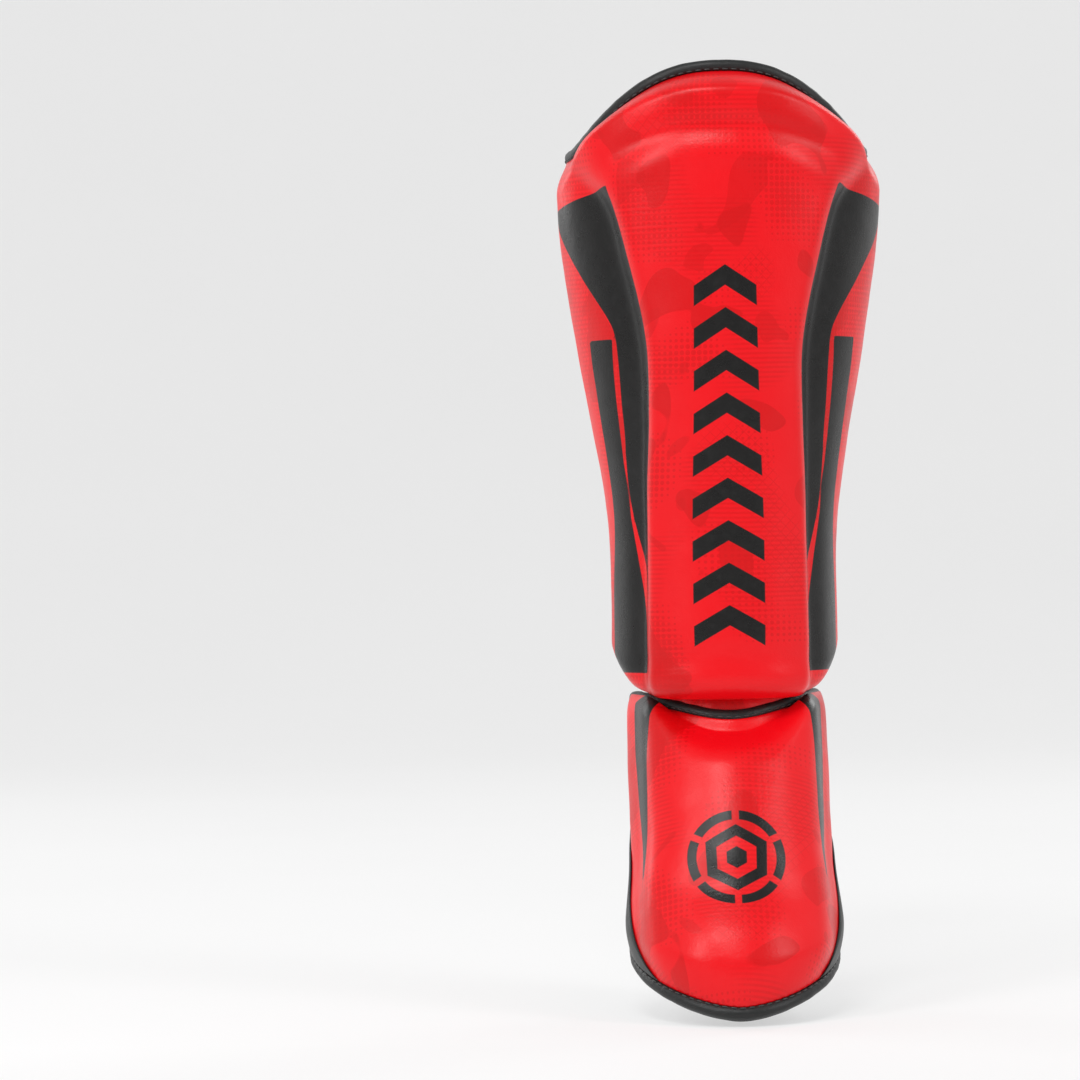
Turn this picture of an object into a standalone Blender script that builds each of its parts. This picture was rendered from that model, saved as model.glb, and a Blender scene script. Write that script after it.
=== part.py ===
"""Shin guard with a hinged instep pad and two hook-and-loop calf straps.

Run with: blender --background --python part.py

Frame: metres, +Z up along the shin, the front of the shin faces -Y, and the origin is the
centre of the ankle. The guard is made of thin layers wrapped round the leg. Every layer is
a flat grid that is triangulated, thickened by an extrusion and then bent by one of two
wrapping functions, so that neighbouring layers share their facets and nest exactly.
"""

import math

import bmesh
import bpy
from mathutils import Matrix, Vector

# ---- Driving dimensions -------------------------------------------------------------------

GAP = 0.0003            # between layers that touch
PATCH_GAP = 0.0006      # between pieces whose facets don't line up

# Leg channel inside the shin section, as (height, half-width, front depth, back depth)
LEG_STATIONS = (
    (0.000, 0.0410, 0.0440, 0.0430),
    (0.085, 0.0415, 0.0450, 0.0440),
    (0.168, 0.0550, 0.0500, 0.0540),
    (0.247, 0.0662, 0.0550, 0.0600),
    (0.300, 0.0655, 0.0560, 0.0600),
)

# Outline of the shin section
EAR_TOP_Z = 0.2600      # top edge at the sides and back
ARCH_RISE = 0.0370      # the knee arch stands this much above it
ARCH_HALF_ANGLE = 80.0
SHIN_FRONT_Z = 0.0072   # bottom edge at the front
SHIN_SIDE_Z = 0.0200    # bottom edge at the sides and back
BOTTOM_FLAT_ANGLE = 25.0
FRONT_ANGLE = 80.0      # the grid's columns stand straight up to here
SCOOP_ANGLE = 98.0      # side edges between and below the straps
EAR_ANGLE = 158.0       # how far round the ears reach under the straps
EAR_SLOPE = 0.0200      # height over which an ear grows out of the side edge
CORNER_RADIUS = 0.0080
CORNER_ANGLE = 7.0

# Layers of the shin section, outwards from the leg
LINING_THICK = 0.0020
COVER_THICK = 0.0013
EDGE_THICK = 0.0062     # whole stack along every edge and in the ears
WING_THICK = 0.0140
CROWN_THICK = 0.0235
RIM_WIDTH = 0.0200      # over which a pad rises from its edge
RIDGE_HALF_ANGLE_TOP = 56.0
RIDGE_HALF_ANGLE_LOW = 43.0
RIDGE_FLANK_ANGLE = 12.0
RIDGE_WIDENS_FROM_Z = 0.150
WING_END_ANGLE = 74.0   # where the wing starts to thin towards the side edge

# Edge binding
BINDING_RADIUS = 0.0028
BINDING_GAP = 0.0008

# Straps
UPPER_STRAP_WIDTH = 0.0665
UPPER_STRAP_DROP = 0.0015   # from the top edge
LOWER_STRAP_WIDTH = 0.0660
LOWER_STRAP_RISE = 0.0070   # from the bottom edge at the sides
LOOP_THICK = 0.0014
HOOK_THICK = 0.0012
STRAP_BACKING_THICK = 0.0014
STRAP_PANEL_THICK = 0.0022
ANCHOR_START_ANGLE = -132.0
ANCHOR_END_ANGLE = -148.0
STRAP_START_ANGLE = -149.4
STRAP_SEAM_ANGLE = -210.0   # between the upper strap's elastic panel and its tip
STRAP_SEAM_STEP = 0.6
STRAP_TIP_ANGLE = -238.0
TIP_ROUND_ANGLE = 24.0      # length of the rounded end
LOOP_START_ANGLE = 104.0
LOOP_END_ANGLE = 152.0
HOOK_START_ANGLE = -211.0
HOOK_END_ANGLE = -233.0

# Instep pad, in its own frame: s runs from the ankle to the toes, n outwards
INSTEP_TILT = math.radians(28.0)
HINGE_Z = 0.0000
# (s, half-width, depth)
FOOT_STATIONS = (
    (-0.025, 0.0400, 0.0430),
    (0.020, 0.0405, 0.0420),
    (0.070, 0.0400, 0.0400),
    (0.110, 0.0430, 0.0400),
    (0.165, 0.0400, 0.0360),
)
TOE_LENGTH = 0.1580
TOE_SIDE_LENGTH = 0.0920     # where the toe edge meets the side tabs
TOE_SQUARENESS = 1.7         # 1 for a pointed toe edge, more for a squarer one
ANKLE_SLACK = 0.0030         # between the gusset and the instep's binding
INSTEP_SIDE_RISE = 0.0040    # how much higher the top edge is at the sides
INSTEP_EDGE_ANGLE = 92.0
TAB_ANGLE = 104.0
TAB_S = 0.0680
TAB_SLOPE = 0.0300
INSTEP_LINING_THICK = 0.0020
INSTEP_EDGE_THICK = 0.0058
INSTEP_SIDE_THICK = 0.0085
INSTEP_CROWN_THICK = 0.0140
INSTEP_CROWN_ANGLE = 52.0
INSTEP_FLANK_ANGLE = 16.0
TOE_PANEL_ANGLES = (26.0, 94.0)
TOE_PANEL_WIDTHS = (0.0030, 0.0240)
TOE_PANEL_THICK = 0.0010
FOOT_STRAP_START = 0.0040
FOOT_STRAP_WIDTH = 0.0440
FOOT_STRAP_THICK = 0.0018
FOOT_STRAP_INSET = 0.0025    # above the deepest line of the foot channel

# Ankle pieces
GUSSET_ANGLE = 48.0
GUSSET_THICK = 0.0012
GUSSET_HEIGHT = 0.0050
TACK_ANGLE = 14.0
TACK_THICK = 0.0012
TACK_Z = (-0.0010, 0.0130)
OPEN_BOTTOM_ANGLE = 60.0    # the shin section has no binding in front of this

# Colours: (red, green, blue), roughness
RED_SKIN = ((0.80, 0.015, 0.020), 0.38)
BLACK_SKIN = ((0.020, 0.022, 0.022), 0.42)
BLACK_KNIT = ((0.012, 0.013, 0.013), 0.90)
BLACK_ELASTIC = ((0.018, 0.020, 0.019), 0.75)
BLACK_PILE = ((0.014, 0.014, 0.014), 0.95)
GREY_FOAM = ((0.300, 0.300, 0.310), 0.85)
THREAD = ((0.025, 0.025, 0.025), 0.60)


# ---- Sizes that follow from these ---------------------------------------------------------

ARCH_TOP_Z = EAR_TOP_Z + ARCH_RISE
UPPER_STRAP_Z = (EAR_TOP_Z - UPPER_STRAP_DROP - UPPER_STRAP_WIDTH, EAR_TOP_Z - UPPER_STRAP_DROP)
LOWER_STRAP_Z = (SHIN_SIDE_Z + LOWER_STRAP_RISE, SHIN_SIDE_Z + LOWER_STRAP_RISE + LOWER_STRAP_WIDTH)
LOOP_T = EDGE_THICK + PATCH_GAP
HOOK_T = LOOP_T + LOOP_THICK + PATCH_GAP
BACKING_T = HOOK_T + HOOK_THICK + GAP
PANEL_T = BACKING_T + STRAP_BACKING_THICK + GAP
STRAP_TOP_T = PANEL_T + STRAP_PANEL_THICK
HINGE_Y = -LEG_STATIONS[0][2] - EDGE_THICK / 2
BINDING_REACH = 2 * BINDING_RADIUS + BINDING_GAP
INSTEP_TOP_Z = (
    SHIN_FRONT_Z - PATCH_GAP - GUSSET_HEIGHT - ANKLE_SLACK - BINDING_REACH * math.cos(INSTEP_TILT)
)


# ---- Small maths --------------------------------------------------------------------------

def smooth(x):
    """0 below 0, 1 above 1, and an S-curve between."""
    x = min(1.0, max(0.0, x))
    return x * x * (3.0 - 2.0 * x)


def station(x, table, column):
    """A value from a table of stations, joined by a smooth curve through them."""
    rows = list(table)
    if x <= rows[0][0]:
        return rows[0][column]
    for i in range(len(rows) - 1):
        if x <= rows[i + 1][0]:
            break
    else:
        return rows[-1][column]
    before, here = rows[max(i - 1, 0)], rows[i]
    there, after = rows[i + 1], rows[min(i + 2, len(rows) - 1)]
    span = there[0] - here[0]
    t = (x - here[0]) / span
    slope_here = (there[column] - before[column]) / (there[0] - before[0])
    slope_there = (after[column] - here[column]) / (after[0] - here[0])
    return (
        here[column] * (1 + 2 * t) * (1 - t) ** 2
        + there[column] * t * t * (3 - 2 * t)
        + slope_here * span * t * (1 - t) ** 2
        - slope_there * span * t * t * (1 - t)
    )


def round_corner(distance, radius):
    """How far a corner of this radius cuts in, as a share of it, at a distance from the edge."""
    x = 1.0 - min(1.0, max(0.0, distance / radius))
    return 1.0 - math.sqrt(1.0 - x * x)


# ---- Shin section -------------------------------------------------------------------------

def shin_wrap(angle, z, t):
    """The point at this angle round the leg, height, and distance t outside the leg channel."""
    a = math.radians(angle)
    half_width = station(z, LEG_STATIONS, 1)
    depth = station(z, LEG_STATIONS, 2 if math.cos(a) > 0 else 3)
    normal = Vector((math.sin(a) / half_width, -math.cos(a) / depth, 0.0)).normalized()
    return Vector((half_width * math.sin(a), -depth * math.cos(a), z)) + t * normal


def shin_top(angle):
    rise = 0.5 + 0.5 * math.cos(math.pi * min(1.0, abs(angle) / ARCH_HALF_ANGLE))
    return EAR_TOP_Z + (ARCH_TOP_Z - EAR_TOP_Z) * rise


def shin_bottom(angle):
    rise = smooth((abs(angle) - BOTTOM_FLAT_ANGLE) / (SCOOP_ANGLE - BOTTOM_FLAT_ANGLE))
    return SHIN_FRONT_Z + (SHIN_SIDE_Z - SHIN_FRONT_Z) * rise


def ear(z, lowest, highest):
    return smooth((z - lowest) / EAR_SLOPE) * smooth((highest - z) / EAR_SLOPE)


def shin_edge_angle(z):
    """How far round the side edge is at this height."""
    grown = max(
        ear(z, LOWER_STRAP_Z[0] - EAR_SLOPE * 0.7, LOWER_STRAP_Z[1] + EAR_SLOPE * 0.7),
        ear(z, UPPER_STRAP_Z[0] - EAR_SLOPE * 0.7, EAR_TOP_Z + EAR_SLOPE),
    )
    cut = round_corner(EAR_TOP_Z - z, CORNER_RADIUS) + round_corner(z - SHIN_SIDE_Z, CORNER_RADIUS)
    return SCOOP_ANGLE + (EAR_ANGLE - SCOOP_ANGLE) * grown - CORNER_ANGLE * cut


def shin_outline(u, v):
    """(angle, height) of a grid point, u from -1 to 1 across and v from 0 to 1 up."""
    side_z = shin_row(v)
    past = max(0.0, abs(u) - SHIN_FRONT_SHARE) / (1.0 - SHIN_FRONT_SHARE)
    angle = FRONT_ANGLE * min(abs(u) / SHIN_FRONT_SHARE, 1.0)
    angle = math.copysign(angle + (shin_edge_angle(side_z) - FRONT_ANGLE) * past, u)
    share = (side_z - SHIN_SIDE_Z) / (EAR_TOP_Z - SHIN_SIDE_Z)
    return angle, shin_bottom(angle) + (shin_top(angle) - shin_bottom(angle)) * share


SHIN_COLUMNS = 28
SHIN_FRONT_SHARE = 16 / SHIN_COLUMNS
SHIN_ROW_STEPS = (
    (SHIN_SIDE_Z, LOWER_STRAP_Z[0] + 0.008, 4),
    (LOWER_STRAP_Z[0] + 0.008, LOWER_STRAP_Z[1] - 0.006, 3),
    (LOWER_STRAP_Z[1] - 0.006, LOWER_STRAP_Z[1] + 0.016, 4),
    (LOWER_STRAP_Z[1] + 0.016, UPPER_STRAP_Z[0] - 0.016, 2),
    (UPPER_STRAP_Z[0] - 0.016, UPPER_STRAP_Z[0] + 0.008, 4),
    (UPPER_STRAP_Z[0] + 0.008, EAR_TOP_Z - CORNER_RADIUS, 2),
    (EAR_TOP_Z - CORNER_RADIUS, EAR_TOP_Z, 3),
)
SHIN_ROWS = [SHIN_SIDE_Z] + [
    low + (high - low) * (k + 1) / steps
    for low, high, steps in SHIN_ROW_STEPS
    for k in range(steps)
]


def shin_row(v):
    """Side heights of the rows, closer together where the outline turns."""
    place = v * (len(SHIN_ROWS) - 1)
    i = min(int(place + 1e-6), len(SHIN_ROWS) - 2)
    return SHIN_ROWS[i] + (SHIN_ROWS[i + 1] - SHIN_ROWS[i]) * (place - i)


def shin_thickness(angle, z):
    """The whole stack: thick ridge in the middle, thinner wings, thin edges and ears."""
    wide = smooth((z - RIDGE_WIDENS_FROM_Z) / (EAR_TOP_Z - RIDGE_WIDENS_FROM_Z))
    ridge_end = RIDGE_HALF_ANGLE_LOW + (RIDGE_HALF_ANGLE_TOP - RIDGE_HALF_ANGLE_LOW) * wide
    ridge = smooth((ridge_end - abs(angle)) / RIDGE_FLANK_ANGLE + 0.5)
    wing = smooth((SCOOP_ANGLE - abs(angle)) / (SCOOP_ANGLE - WING_END_ANGLE))
    full = EDGE_THICK + (WING_THICK - EDGE_THICK) * wing + (CROWN_THICK - WING_THICK) * ridge
    rim = min(shin_top(angle) - z, z - shin_bottom(angle)) / RIM_WIDTH
    return EDGE_THICK + (full - EDGE_THICK) * math.sqrt(smooth(rim))


# ---- Instep section -----------------------------------------------------------------------

INSTEP_TO_GUARD = Matrix(
    (
        (1.0, 0.0, 0.0, 0.0),
        (0.0, -math.sin(INSTEP_TILT), -math.cos(INSTEP_TILT), HINGE_Y),
        (0.0, -math.cos(INSTEP_TILT), math.sin(INSTEP_TILT), HINGE_Z),
        (0.0, 0.0, 0.0, 1.0),
    )
)


def instep_wrap(angle, s, t):
    """The point at this angle over the foot, distance s towards the toes, and t outwards."""
    a = math.radians(angle)
    half_width, depth = station(s, FOOT_STATIONS, 1), station(s, FOOT_STATIONS, 2)
    normal = Vector((math.sin(a) / half_width, 0.0, math.cos(a) / depth)).normalized()
    local = Vector((half_width * math.sin(a), s, depth * (math.cos(a) - 1.0))) + t * normal
    local.z -= INSTEP_EDGE_THICK / 2
    return INSTEP_TO_GUARD @ local


def instep_top(angle):
    """Where the top edge is, from its height at rest."""
    side = math.sin(math.radians(angle)) ** 2
    height = INSTEP_TOP_Z + INSTEP_SIDE_RISE * side
    drop = FOOT_STATIONS[0][2] * (1.0 - math.cos(math.radians(angle))) + INSTEP_EDGE_THICK / 2
    return -(height + drop * math.sin(INSTEP_TILT)) / math.cos(INSTEP_TILT)


def instep_toe(angle):
    sweep = min(1.0, abs(angle) / TAB_ANGLE) ** TOE_SQUARENESS
    return TOE_LENGTH - (TOE_LENGTH - TOE_SIDE_LENGTH) * sweep


def instep_edge_angle(s):
    tab = smooth((s - TAB_S + TAB_SLOPE) / TAB_SLOPE)
    side_top = instep_top(INSTEP_EDGE_ANGLE)
    cut = round_corner(s - side_top, CORNER_RADIUS) + round_corner(TOE_SIDE_LENGTH - s, CORNER_RADIUS)
    return INSTEP_EDGE_ANGLE + (TAB_ANGLE - INSTEP_EDGE_ANGLE) * tab - CORNER_ANGLE * cut


INSTEP_COLUMNS = 14
INSTEP_ROWS = 16


def instep_outline(u, v):
    """(angle, distance along the foot), u from -1 to 1 across and v from 0 to 1 to the toes."""
    side_top = instep_top(INSTEP_EDGE_ANGLE)
    side_s = side_top + (TOE_SIDE_LENGTH - side_top) * (0.5 - 0.5 * math.cos(math.pi * v))
    share = (side_s - side_top) / (TOE_SIDE_LENGTH - side_top)
    angle = u * instep_edge_angle(side_s)
    return angle, instep_top(angle) + (instep_toe(angle) - instep_top(angle)) * share


def instep_thickness(angle, s):
    crown = smooth((INSTEP_CROWN_ANGLE - abs(angle)) / INSTEP_FLANK_ANGLE + 0.5)
    side = smooth((INSTEP_EDGE_ANGLE - abs(angle)) / INSTEP_FLANK_ANGLE)
    full = INSTEP_EDGE_THICK + (INSTEP_SIDE_THICK - INSTEP_EDGE_THICK) * side
    full += (INSTEP_CROWN_THICK - INSTEP_SIDE_THICK) * crown
    rim = min(instep_toe(angle) - s, s - instep_top(angle)) / RIM_WIDTH
    return INSTEP_EDGE_THICK + (full - INSTEP_EDGE_THICK) * math.sqrt(smooth(rim))


# ---- Building -----------------------------------------------------------------------------

def clear_scene():
    for obj in list(bpy.data.objects):
        bpy.data.objects.remove(obj)


def material(name, finish):
    """A Principled BSDF of this colour and roughness."""
    colour, roughness = finish
    made = bpy.data.materials.new(name)
    made.use_nodes = True
    shader = made.node_tree.nodes["Principled BSDF"]
    shader.inputs["Base Color"].default_value = (*colour, 1.0)
    shader.inputs["Roughness"].default_value = roughness
    made.diffuse_color = (*colour, 1.0)
    return made


def add_piece(name, data, finish, pivot=None):
    """Links an object for one piece. A moving piece hangs from an empty on its joint's axis."""
    obj = bpy.data.objects.new(name, data)
    GUARD.objects.link(obj)
    data.materials.append(finish)
    if pivot is not None:
        obj.parent = pivot
        obj.matrix_parent_inverse = pivot.matrix_world.inverted()
    return obj


def closed_mesh(name, bm):
    """A mesh of a closed body with every face pointing outwards."""
    bmesh.ops.recalc_face_normals(bm, faces=bm.faces[:])
    if bm.calc_volume(signed=True) < 0:
        bmesh.ops.reverse_faces(bm, faces=bm.faces[:])
    mesh = bpy.data.meshes.new(name)
    bm.to_mesh(mesh)
    bm.free()
    return mesh


def add_layer(name, outline, wrap, inner, outer, columns, rows, finish, pivot=None):
    """A thin layer: a flat grid, triangulated, thickened and bent round the limb.

    outline(u, v) gives the (angle, distance along) of a grid point, and inner and outer give
    the layer's two faces there, as distances outside the channel.
    """
    bm = bmesh.new()
    bmesh.ops.create_grid(bm, x_segments=columns, y_segments=rows, size=1.0)
    bmesh.ops.triangulate(bm, faces=bm.faces[:])
    raised = bmesh.ops.extrude_face_region(bm, geom=bm.faces[:])["geom"]
    top = {v for v in raised if isinstance(v, bmesh.types.BMVert)}
    for vert in bm.verts:
        angle, along = outline(vert.co.x, (vert.co.y + 1.0) / 2.0)
        face = outer if vert in top else inner
        vert.co = wrap(angle, along, face(angle, along))
    mesh = closed_mesh(name, bm)
    mesh.shade_smooth()
    mesh.set_sharp_from_angle(angle=math.radians(40))
    return add_piece(name, mesh, finish, pivot)


def grid_border(outline, columns, rows, open_angle=-1.0):
    """The grid's border points as (angle, along), round from the middle of the bottom edge.

    With an open angle, the points in front of it on the bottom edge are left out.
    """
    half = columns // 2
    path = [(i / half, 0.0) for i in range(half)]
    path += [(1.0, j / rows) for j in range(rows)]
    path += [(1 - i / half, 1.0) for i in range(columns)]
    path += [(-1.0, 1 - j / rows) for j in range(rows)]
    path += [(i / half - 1.0, 0.0) for i in range(half)]
    places = [outline(u, v) for u, v in path]
    middle = outline(0.0, 0.5)[1]
    return [place for place in places if abs(place[0]) > open_angle or place[1] > middle]


def bead_points(border, wrap, depth, radius, closed):
    """Points of a bead that runs on the right-hand side of a border, BINDING_GAP off it."""
    points = []
    count = len(border)
    for k, (angle, along) in enumerate(border):
        here = wrap(angle, along, depth)
        before = border[(k - 1) % count] if closed or k else border[k]
        after = border[(k + 1) % count] if closed or k < count - 1 else border[k]
        arrive = (here - wrap(*before, depth)).normalized()
        leave = (wrap(*after, depth) - here).normalized()
        run = (arrive + leave).normalized()
        at_end = not arrive.length or not leave.length
        miter = 1.0 if at_end else math.sqrt(max(0.25, (1.0 + arrive.dot(leave)) / 2.0))
        up = (wrap(angle, along, depth + 0.001) - here).normalized()
        points.append(here + run.cross(up).normalized() * (radius + BINDING_GAP) / miter)
    return points


def add_bead(name, points, radius, closed, finish, pivot=None):
    """A round bead of binding tape along the points."""
    curve = bpy.data.curves.new(name, "CURVE")
    curve.dimensions = "3D"
    curve.bevel_depth = radius
    curve.bevel_resolution = 1
    curve.use_fill_caps = not closed
    spline = curve.splines.new("POLY")
    spline.points.add(len(points) - 1)
    for target, point in zip(spline.points, points):
        target.co = (*point, 1.0)
    spline.use_cyclic_u = closed
    return add_piece(name, curve, finish, pivot)


def constant(value):
    return lambda angle, along: value


def thin_spaced(border, wrap, least=0.0035):
    """The border without points closer than this to the one before."""
    kept = [border[0]]
    for place in border[1:]:
        if (wrap(*place, 0.0) - wrap(*kept[-1], 0.0)).length > least:
            kept.append(place)
    if (wrap(*kept[-1], 0.0) - wrap(*kept[0], 0.0)).length < least:
        kept.pop()
    return kept


def add_shin():
    """Lining, foam, cover and edge binding of the shin section."""
    size = (SHIN_COLUMNS, len(SHIN_ROWS) - 1)
    lining_top = LINING_THICK
    foam_bottom = lining_top + GAP

    def foam_top(angle, z):
        return shin_thickness(angle, z) - COVER_THICK - GAP

    def cover_bottom(angle, z):
        return shin_thickness(angle, z) - COVER_THICK

    shape = (shin_outline, shin_wrap)
    add_layer("shin_lining", *shape, constant(0.0), constant(lining_top), *size, KNIT)
    add_layer("shin_foam", *shape, constant(foam_bottom), foam_top, *size, FOAM)
    add_layer("shin_cover", *shape, cover_bottom, shin_thickness, *size, RED)
    border = thin_spaced(grid_border(shin_outline, *size, OPEN_BOTTOM_ANGLE), shin_wrap)
    points = bead_points(border, shin_wrap, EDGE_THICK / 2, BINDING_RADIUS, False)
    add_bead("shin_edge_binding", points, BINDING_RADIUS, False, BLACK)


def add_ankle():
    """The gusset below the shin section's bottom edge and the bar tack behind it."""
    middle = EDGE_THICK / 2

    def gusset(u, v):
        top = shin_bottom(u * GUSSET_ANGLE) - PATCH_GAP
        return u * GUSSET_ANGLE, top - GUSSET_HEIGHT * (1.0 - 0.6 * u * u) * (1.0 - v)

    def tack(u, v):
        return u * TACK_ANGLE, TACK_Z[0] + (TACK_Z[1] - TACK_Z[0]) * v

    add_layer("ankle_gusset", gusset, shin_wrap, constant(middle - GUSSET_THICK / 2),
              constant(middle + GUSSET_THICK / 2), 12, 1, RED)
    add_layer("ankle_bar_tack", tack, shin_wrap, constant(-PATCH_GAP - TACK_THICK),
              constant(-PATCH_GAP), 6, 1, STITCH)


def patch(start, end, low, high):
    """A rectangular outline between two angles and two heights."""
    def outline(u, v):
        return start + (end - start) * (u + 1.0) / 2.0, low + (high - low) * v
    return outline


def strap(start, end, low, high):
    """A strap's outline, from its start to a rounded end."""
    middle, half = (low + high) / 2.0, (high - low) / 2.0

    def outline(u, v):
        angle = start + (end - start) * (u + 1.0) / 2.0
        left = abs(STRAP_TIP_ANGLE - angle) / TIP_ROUND_ANGLE
        reach = 1.0 - min(1.0, left)
        height = half * (1.0 - 0.55 * (1.0 - math.sqrt(1.0 - reach ** 2.6)))
        return angle, middle + height * (2.0 * v - 1.0)
    return outline


def strap_hinge(span):
    """The empty on a strap's hinge: the seam where it leaves its anchor."""
    seam = (STRAP_START_ANGLE + ANCHOR_END_ANGLE) / 2.0
    place = shin_wrap(seam, sum(span) / 2.0, STRAP_TOP_T)
    pivot = bpy.data.objects.new("strap_seam", None)
    GUARD.objects.link(pivot)
    pivot.location = place
    bpy.context.view_layer.update()
    return pivot


def add_strap(label, span, has_tip_panel):
    """Loop patch and anchor on the guard, and the strap that swings off them."""
    low, high = span
    inset = 0.004
    loop = patch(LOOP_START_ANGLE, LOOP_END_ANGLE, low + inset, high - inset)
    hook = strap(HOOK_START_ANGLE, HOOK_END_ANGLE, low + 2.2 * inset, high - 2.2 * inset)
    anchor = patch(ANCHOR_START_ANGLE, ANCHOR_END_ANGLE, low, high)
    add_layer(f"{label}_loop_patch", loop, shin_wrap, constant(LOOP_T),
              constant(LOOP_T + LOOP_THICK), 7, 3, PILE)
    add_layer(f"{label}_strap_anchor", anchor, shin_wrap, constant(LOOP_T),
              constant(STRAP_TOP_T), 3, 4, BLACK)

    pivot = strap_hinge(span)
    add_layer(f"{label}_strap_hook", hook, shin_wrap, constant(HOOK_T),
              constant(HOOK_T + HOOK_THICK), 5, 3, PILE, pivot)
    whole = strap(STRAP_START_ANGLE, STRAP_TIP_ANGLE, low, high)
    add_layer(f"{label}_strap_backing", whole, shin_wrap, constant(BACKING_T),
              constant(BACKING_T + STRAP_BACKING_THICK), 14, 4, KNIT, pivot)
    panel_end = STRAP_SEAM_ANGLE if has_tip_panel else STRAP_TIP_ANGLE
    columns = 9 if has_tip_panel else 14
    add_layer(f"{label}_strap_panel", strap(STRAP_START_ANGLE, panel_end, low, high), shin_wrap,
              constant(PANEL_T), constant(STRAP_TOP_T), columns, 4,
              ELASTIC if has_tip_panel else BLACK, pivot)
    if has_tip_panel:
        tip = strap(STRAP_SEAM_ANGLE - STRAP_SEAM_STEP, STRAP_TIP_ANGLE, low, high)
        add_layer(f"{label}_strap_tip", tip, shin_wrap, constant(PANEL_T),
                  constant(STRAP_TOP_T), 6, 4, BLACK, pivot)

    columns, rows = 14, 4
    border = [whole(2 * i / columns - 1, 0.0) for i in range(columns + 1)]
    border += [whole(1.0, j / rows) for j in range(1, rows)]
    border += [whole(1 - 2 * i / columns, 1.0) for i in range(columns + 1)]
    depth = (BACKING_T + STRAP_TOP_T) / 2.0
    points = bead_points(border[::-1], shin_wrap, depth, BINDING_RADIUS, False)
    add_bead(f"{label}_strap_binding", points, BINDING_RADIUS, False, BLACK, pivot)


def add_instep():
    """Lining, foam, cover, toe side panels, binding and foot strap of the instep pad."""
    pivot = bpy.data.objects.new("ankle_hinge", None)
    GUARD.objects.link(pivot)
    pivot.location = (0.0, HINGE_Y, HINGE_Z)
    bpy.context.view_layer.update()
    size = (INSTEP_COLUMNS, INSTEP_ROWS)
    foam_bottom = INSTEP_LINING_THICK + GAP

    def foam_top(angle, s):
        return instep_thickness(angle, s) - COVER_THICK - GAP

    def cover_bottom(angle, s):
        return instep_thickness(angle, s) - COVER_THICK

    shape = (instep_outline, instep_wrap)
    add_layer("instep_lining", *shape, constant(0.0), constant(INSTEP_LINING_THICK), *size,
              KNIT, pivot)
    add_layer("instep_foam", *shape, constant(foam_bottom), foam_top, *size, FOAM, pivot)
    add_layer("instep_cover", *shape, cover_bottom, instep_thickness, *size, RED, pivot)
    border = thin_spaced(grid_border(instep_outline, *size), instep_wrap)
    points = bead_points(border[::-1], instep_wrap, INSTEP_EDGE_THICK / 2, BINDING_RADIUS, True)
    add_bead("instep_edge_binding", points, BINDING_RADIUS, True, BLACK, pivot)
    add_toe_panel("toe_side_panel_left", -1.0, pivot)
    add_toe_panel("toe_side_panel_right", 1.0, pivot)
    add_foot_strap(pivot)


def add_toe_panel(name, side, pivot):
    """A black panel sewn on along one side of the toe edge, wider towards the side."""
    narrow, wide = TOE_PANEL_ANGLES

    def outline(u, v):
        share = (1.0 + side * u) / 2.0
        angle = narrow + (wide - narrow) * share
        width = TOE_PANEL_WIDTHS[0] + (TOE_PANEL_WIDTHS[1] - TOE_PANEL_WIDTHS[0]) * smooth(share * 1.3)
        return side * angle, instep_toe(angle) - PATCH_GAP - width * (1.0 - v)

    def bottom(angle, s):
        return instep_thickness(angle, s) + PATCH_GAP

    def top(angle, s):
        return bottom(angle, s) + TOE_PANEL_THICK

    add_layer(name, outline, instep_wrap, bottom, top, 12, 3, BLACK, pivot)


def add_foot_strap(pivot):
    """The elastic band under the foot: a box that fits between the pad's side walls."""
    low, high = FOOT_STRAP_START, FOOT_STRAP_START + FOOT_STRAP_WIDTH
    narrowest = min(station(s, FOOT_STATIONS, 1) for s in (low, high))
    shallowest = min(station(s, FOOT_STATIONS, 2) for s in (low, high))
    bm = bmesh.new()
    bmesh.ops.create_cube(bm, size=1.0)
    size = (2 * (narrowest - PATCH_GAP), high - low, FOOT_STRAP_THICK)
    place = (0.0, (low + high) / 2, FOOT_STRAP_INSET - shallowest)
    bmesh.ops.scale(bm, vec=size, verts=bm.verts[:])
    bmesh.ops.translate(bm, vec=place, verts=bm.verts[:])
    bmesh.ops.transform(bm, matrix=INSTEP_TO_GUARD, verts=bm.verts[:])
    add_piece("foot_strap", closed_mesh("foot_strap", bm), ELASTIC, pivot)


clear_scene()
GUARD = bpy.data.collections.new("shin_guard")
bpy.context.scene.collection.children.link(GUARD)
RED = material("red_skin", RED_SKIN)
BLACK = material("black_skin", BLACK_SKIN)
KNIT = material("black_knit", BLACK_KNIT)
ELASTIC = material("black_elastic", BLACK_ELASTIC)
PILE = material("black_pile", BLACK_PILE)
FOAM = material("grey_foam", GREY_FOAM)
STITCH = material("thread", THREAD)

add_shin()
add_ankle()
add_strap("upper", UPPER_STRAP_Z, True)
add_strap("lower", LOWER_STRAP_Z, False)
add_instep()
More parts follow.
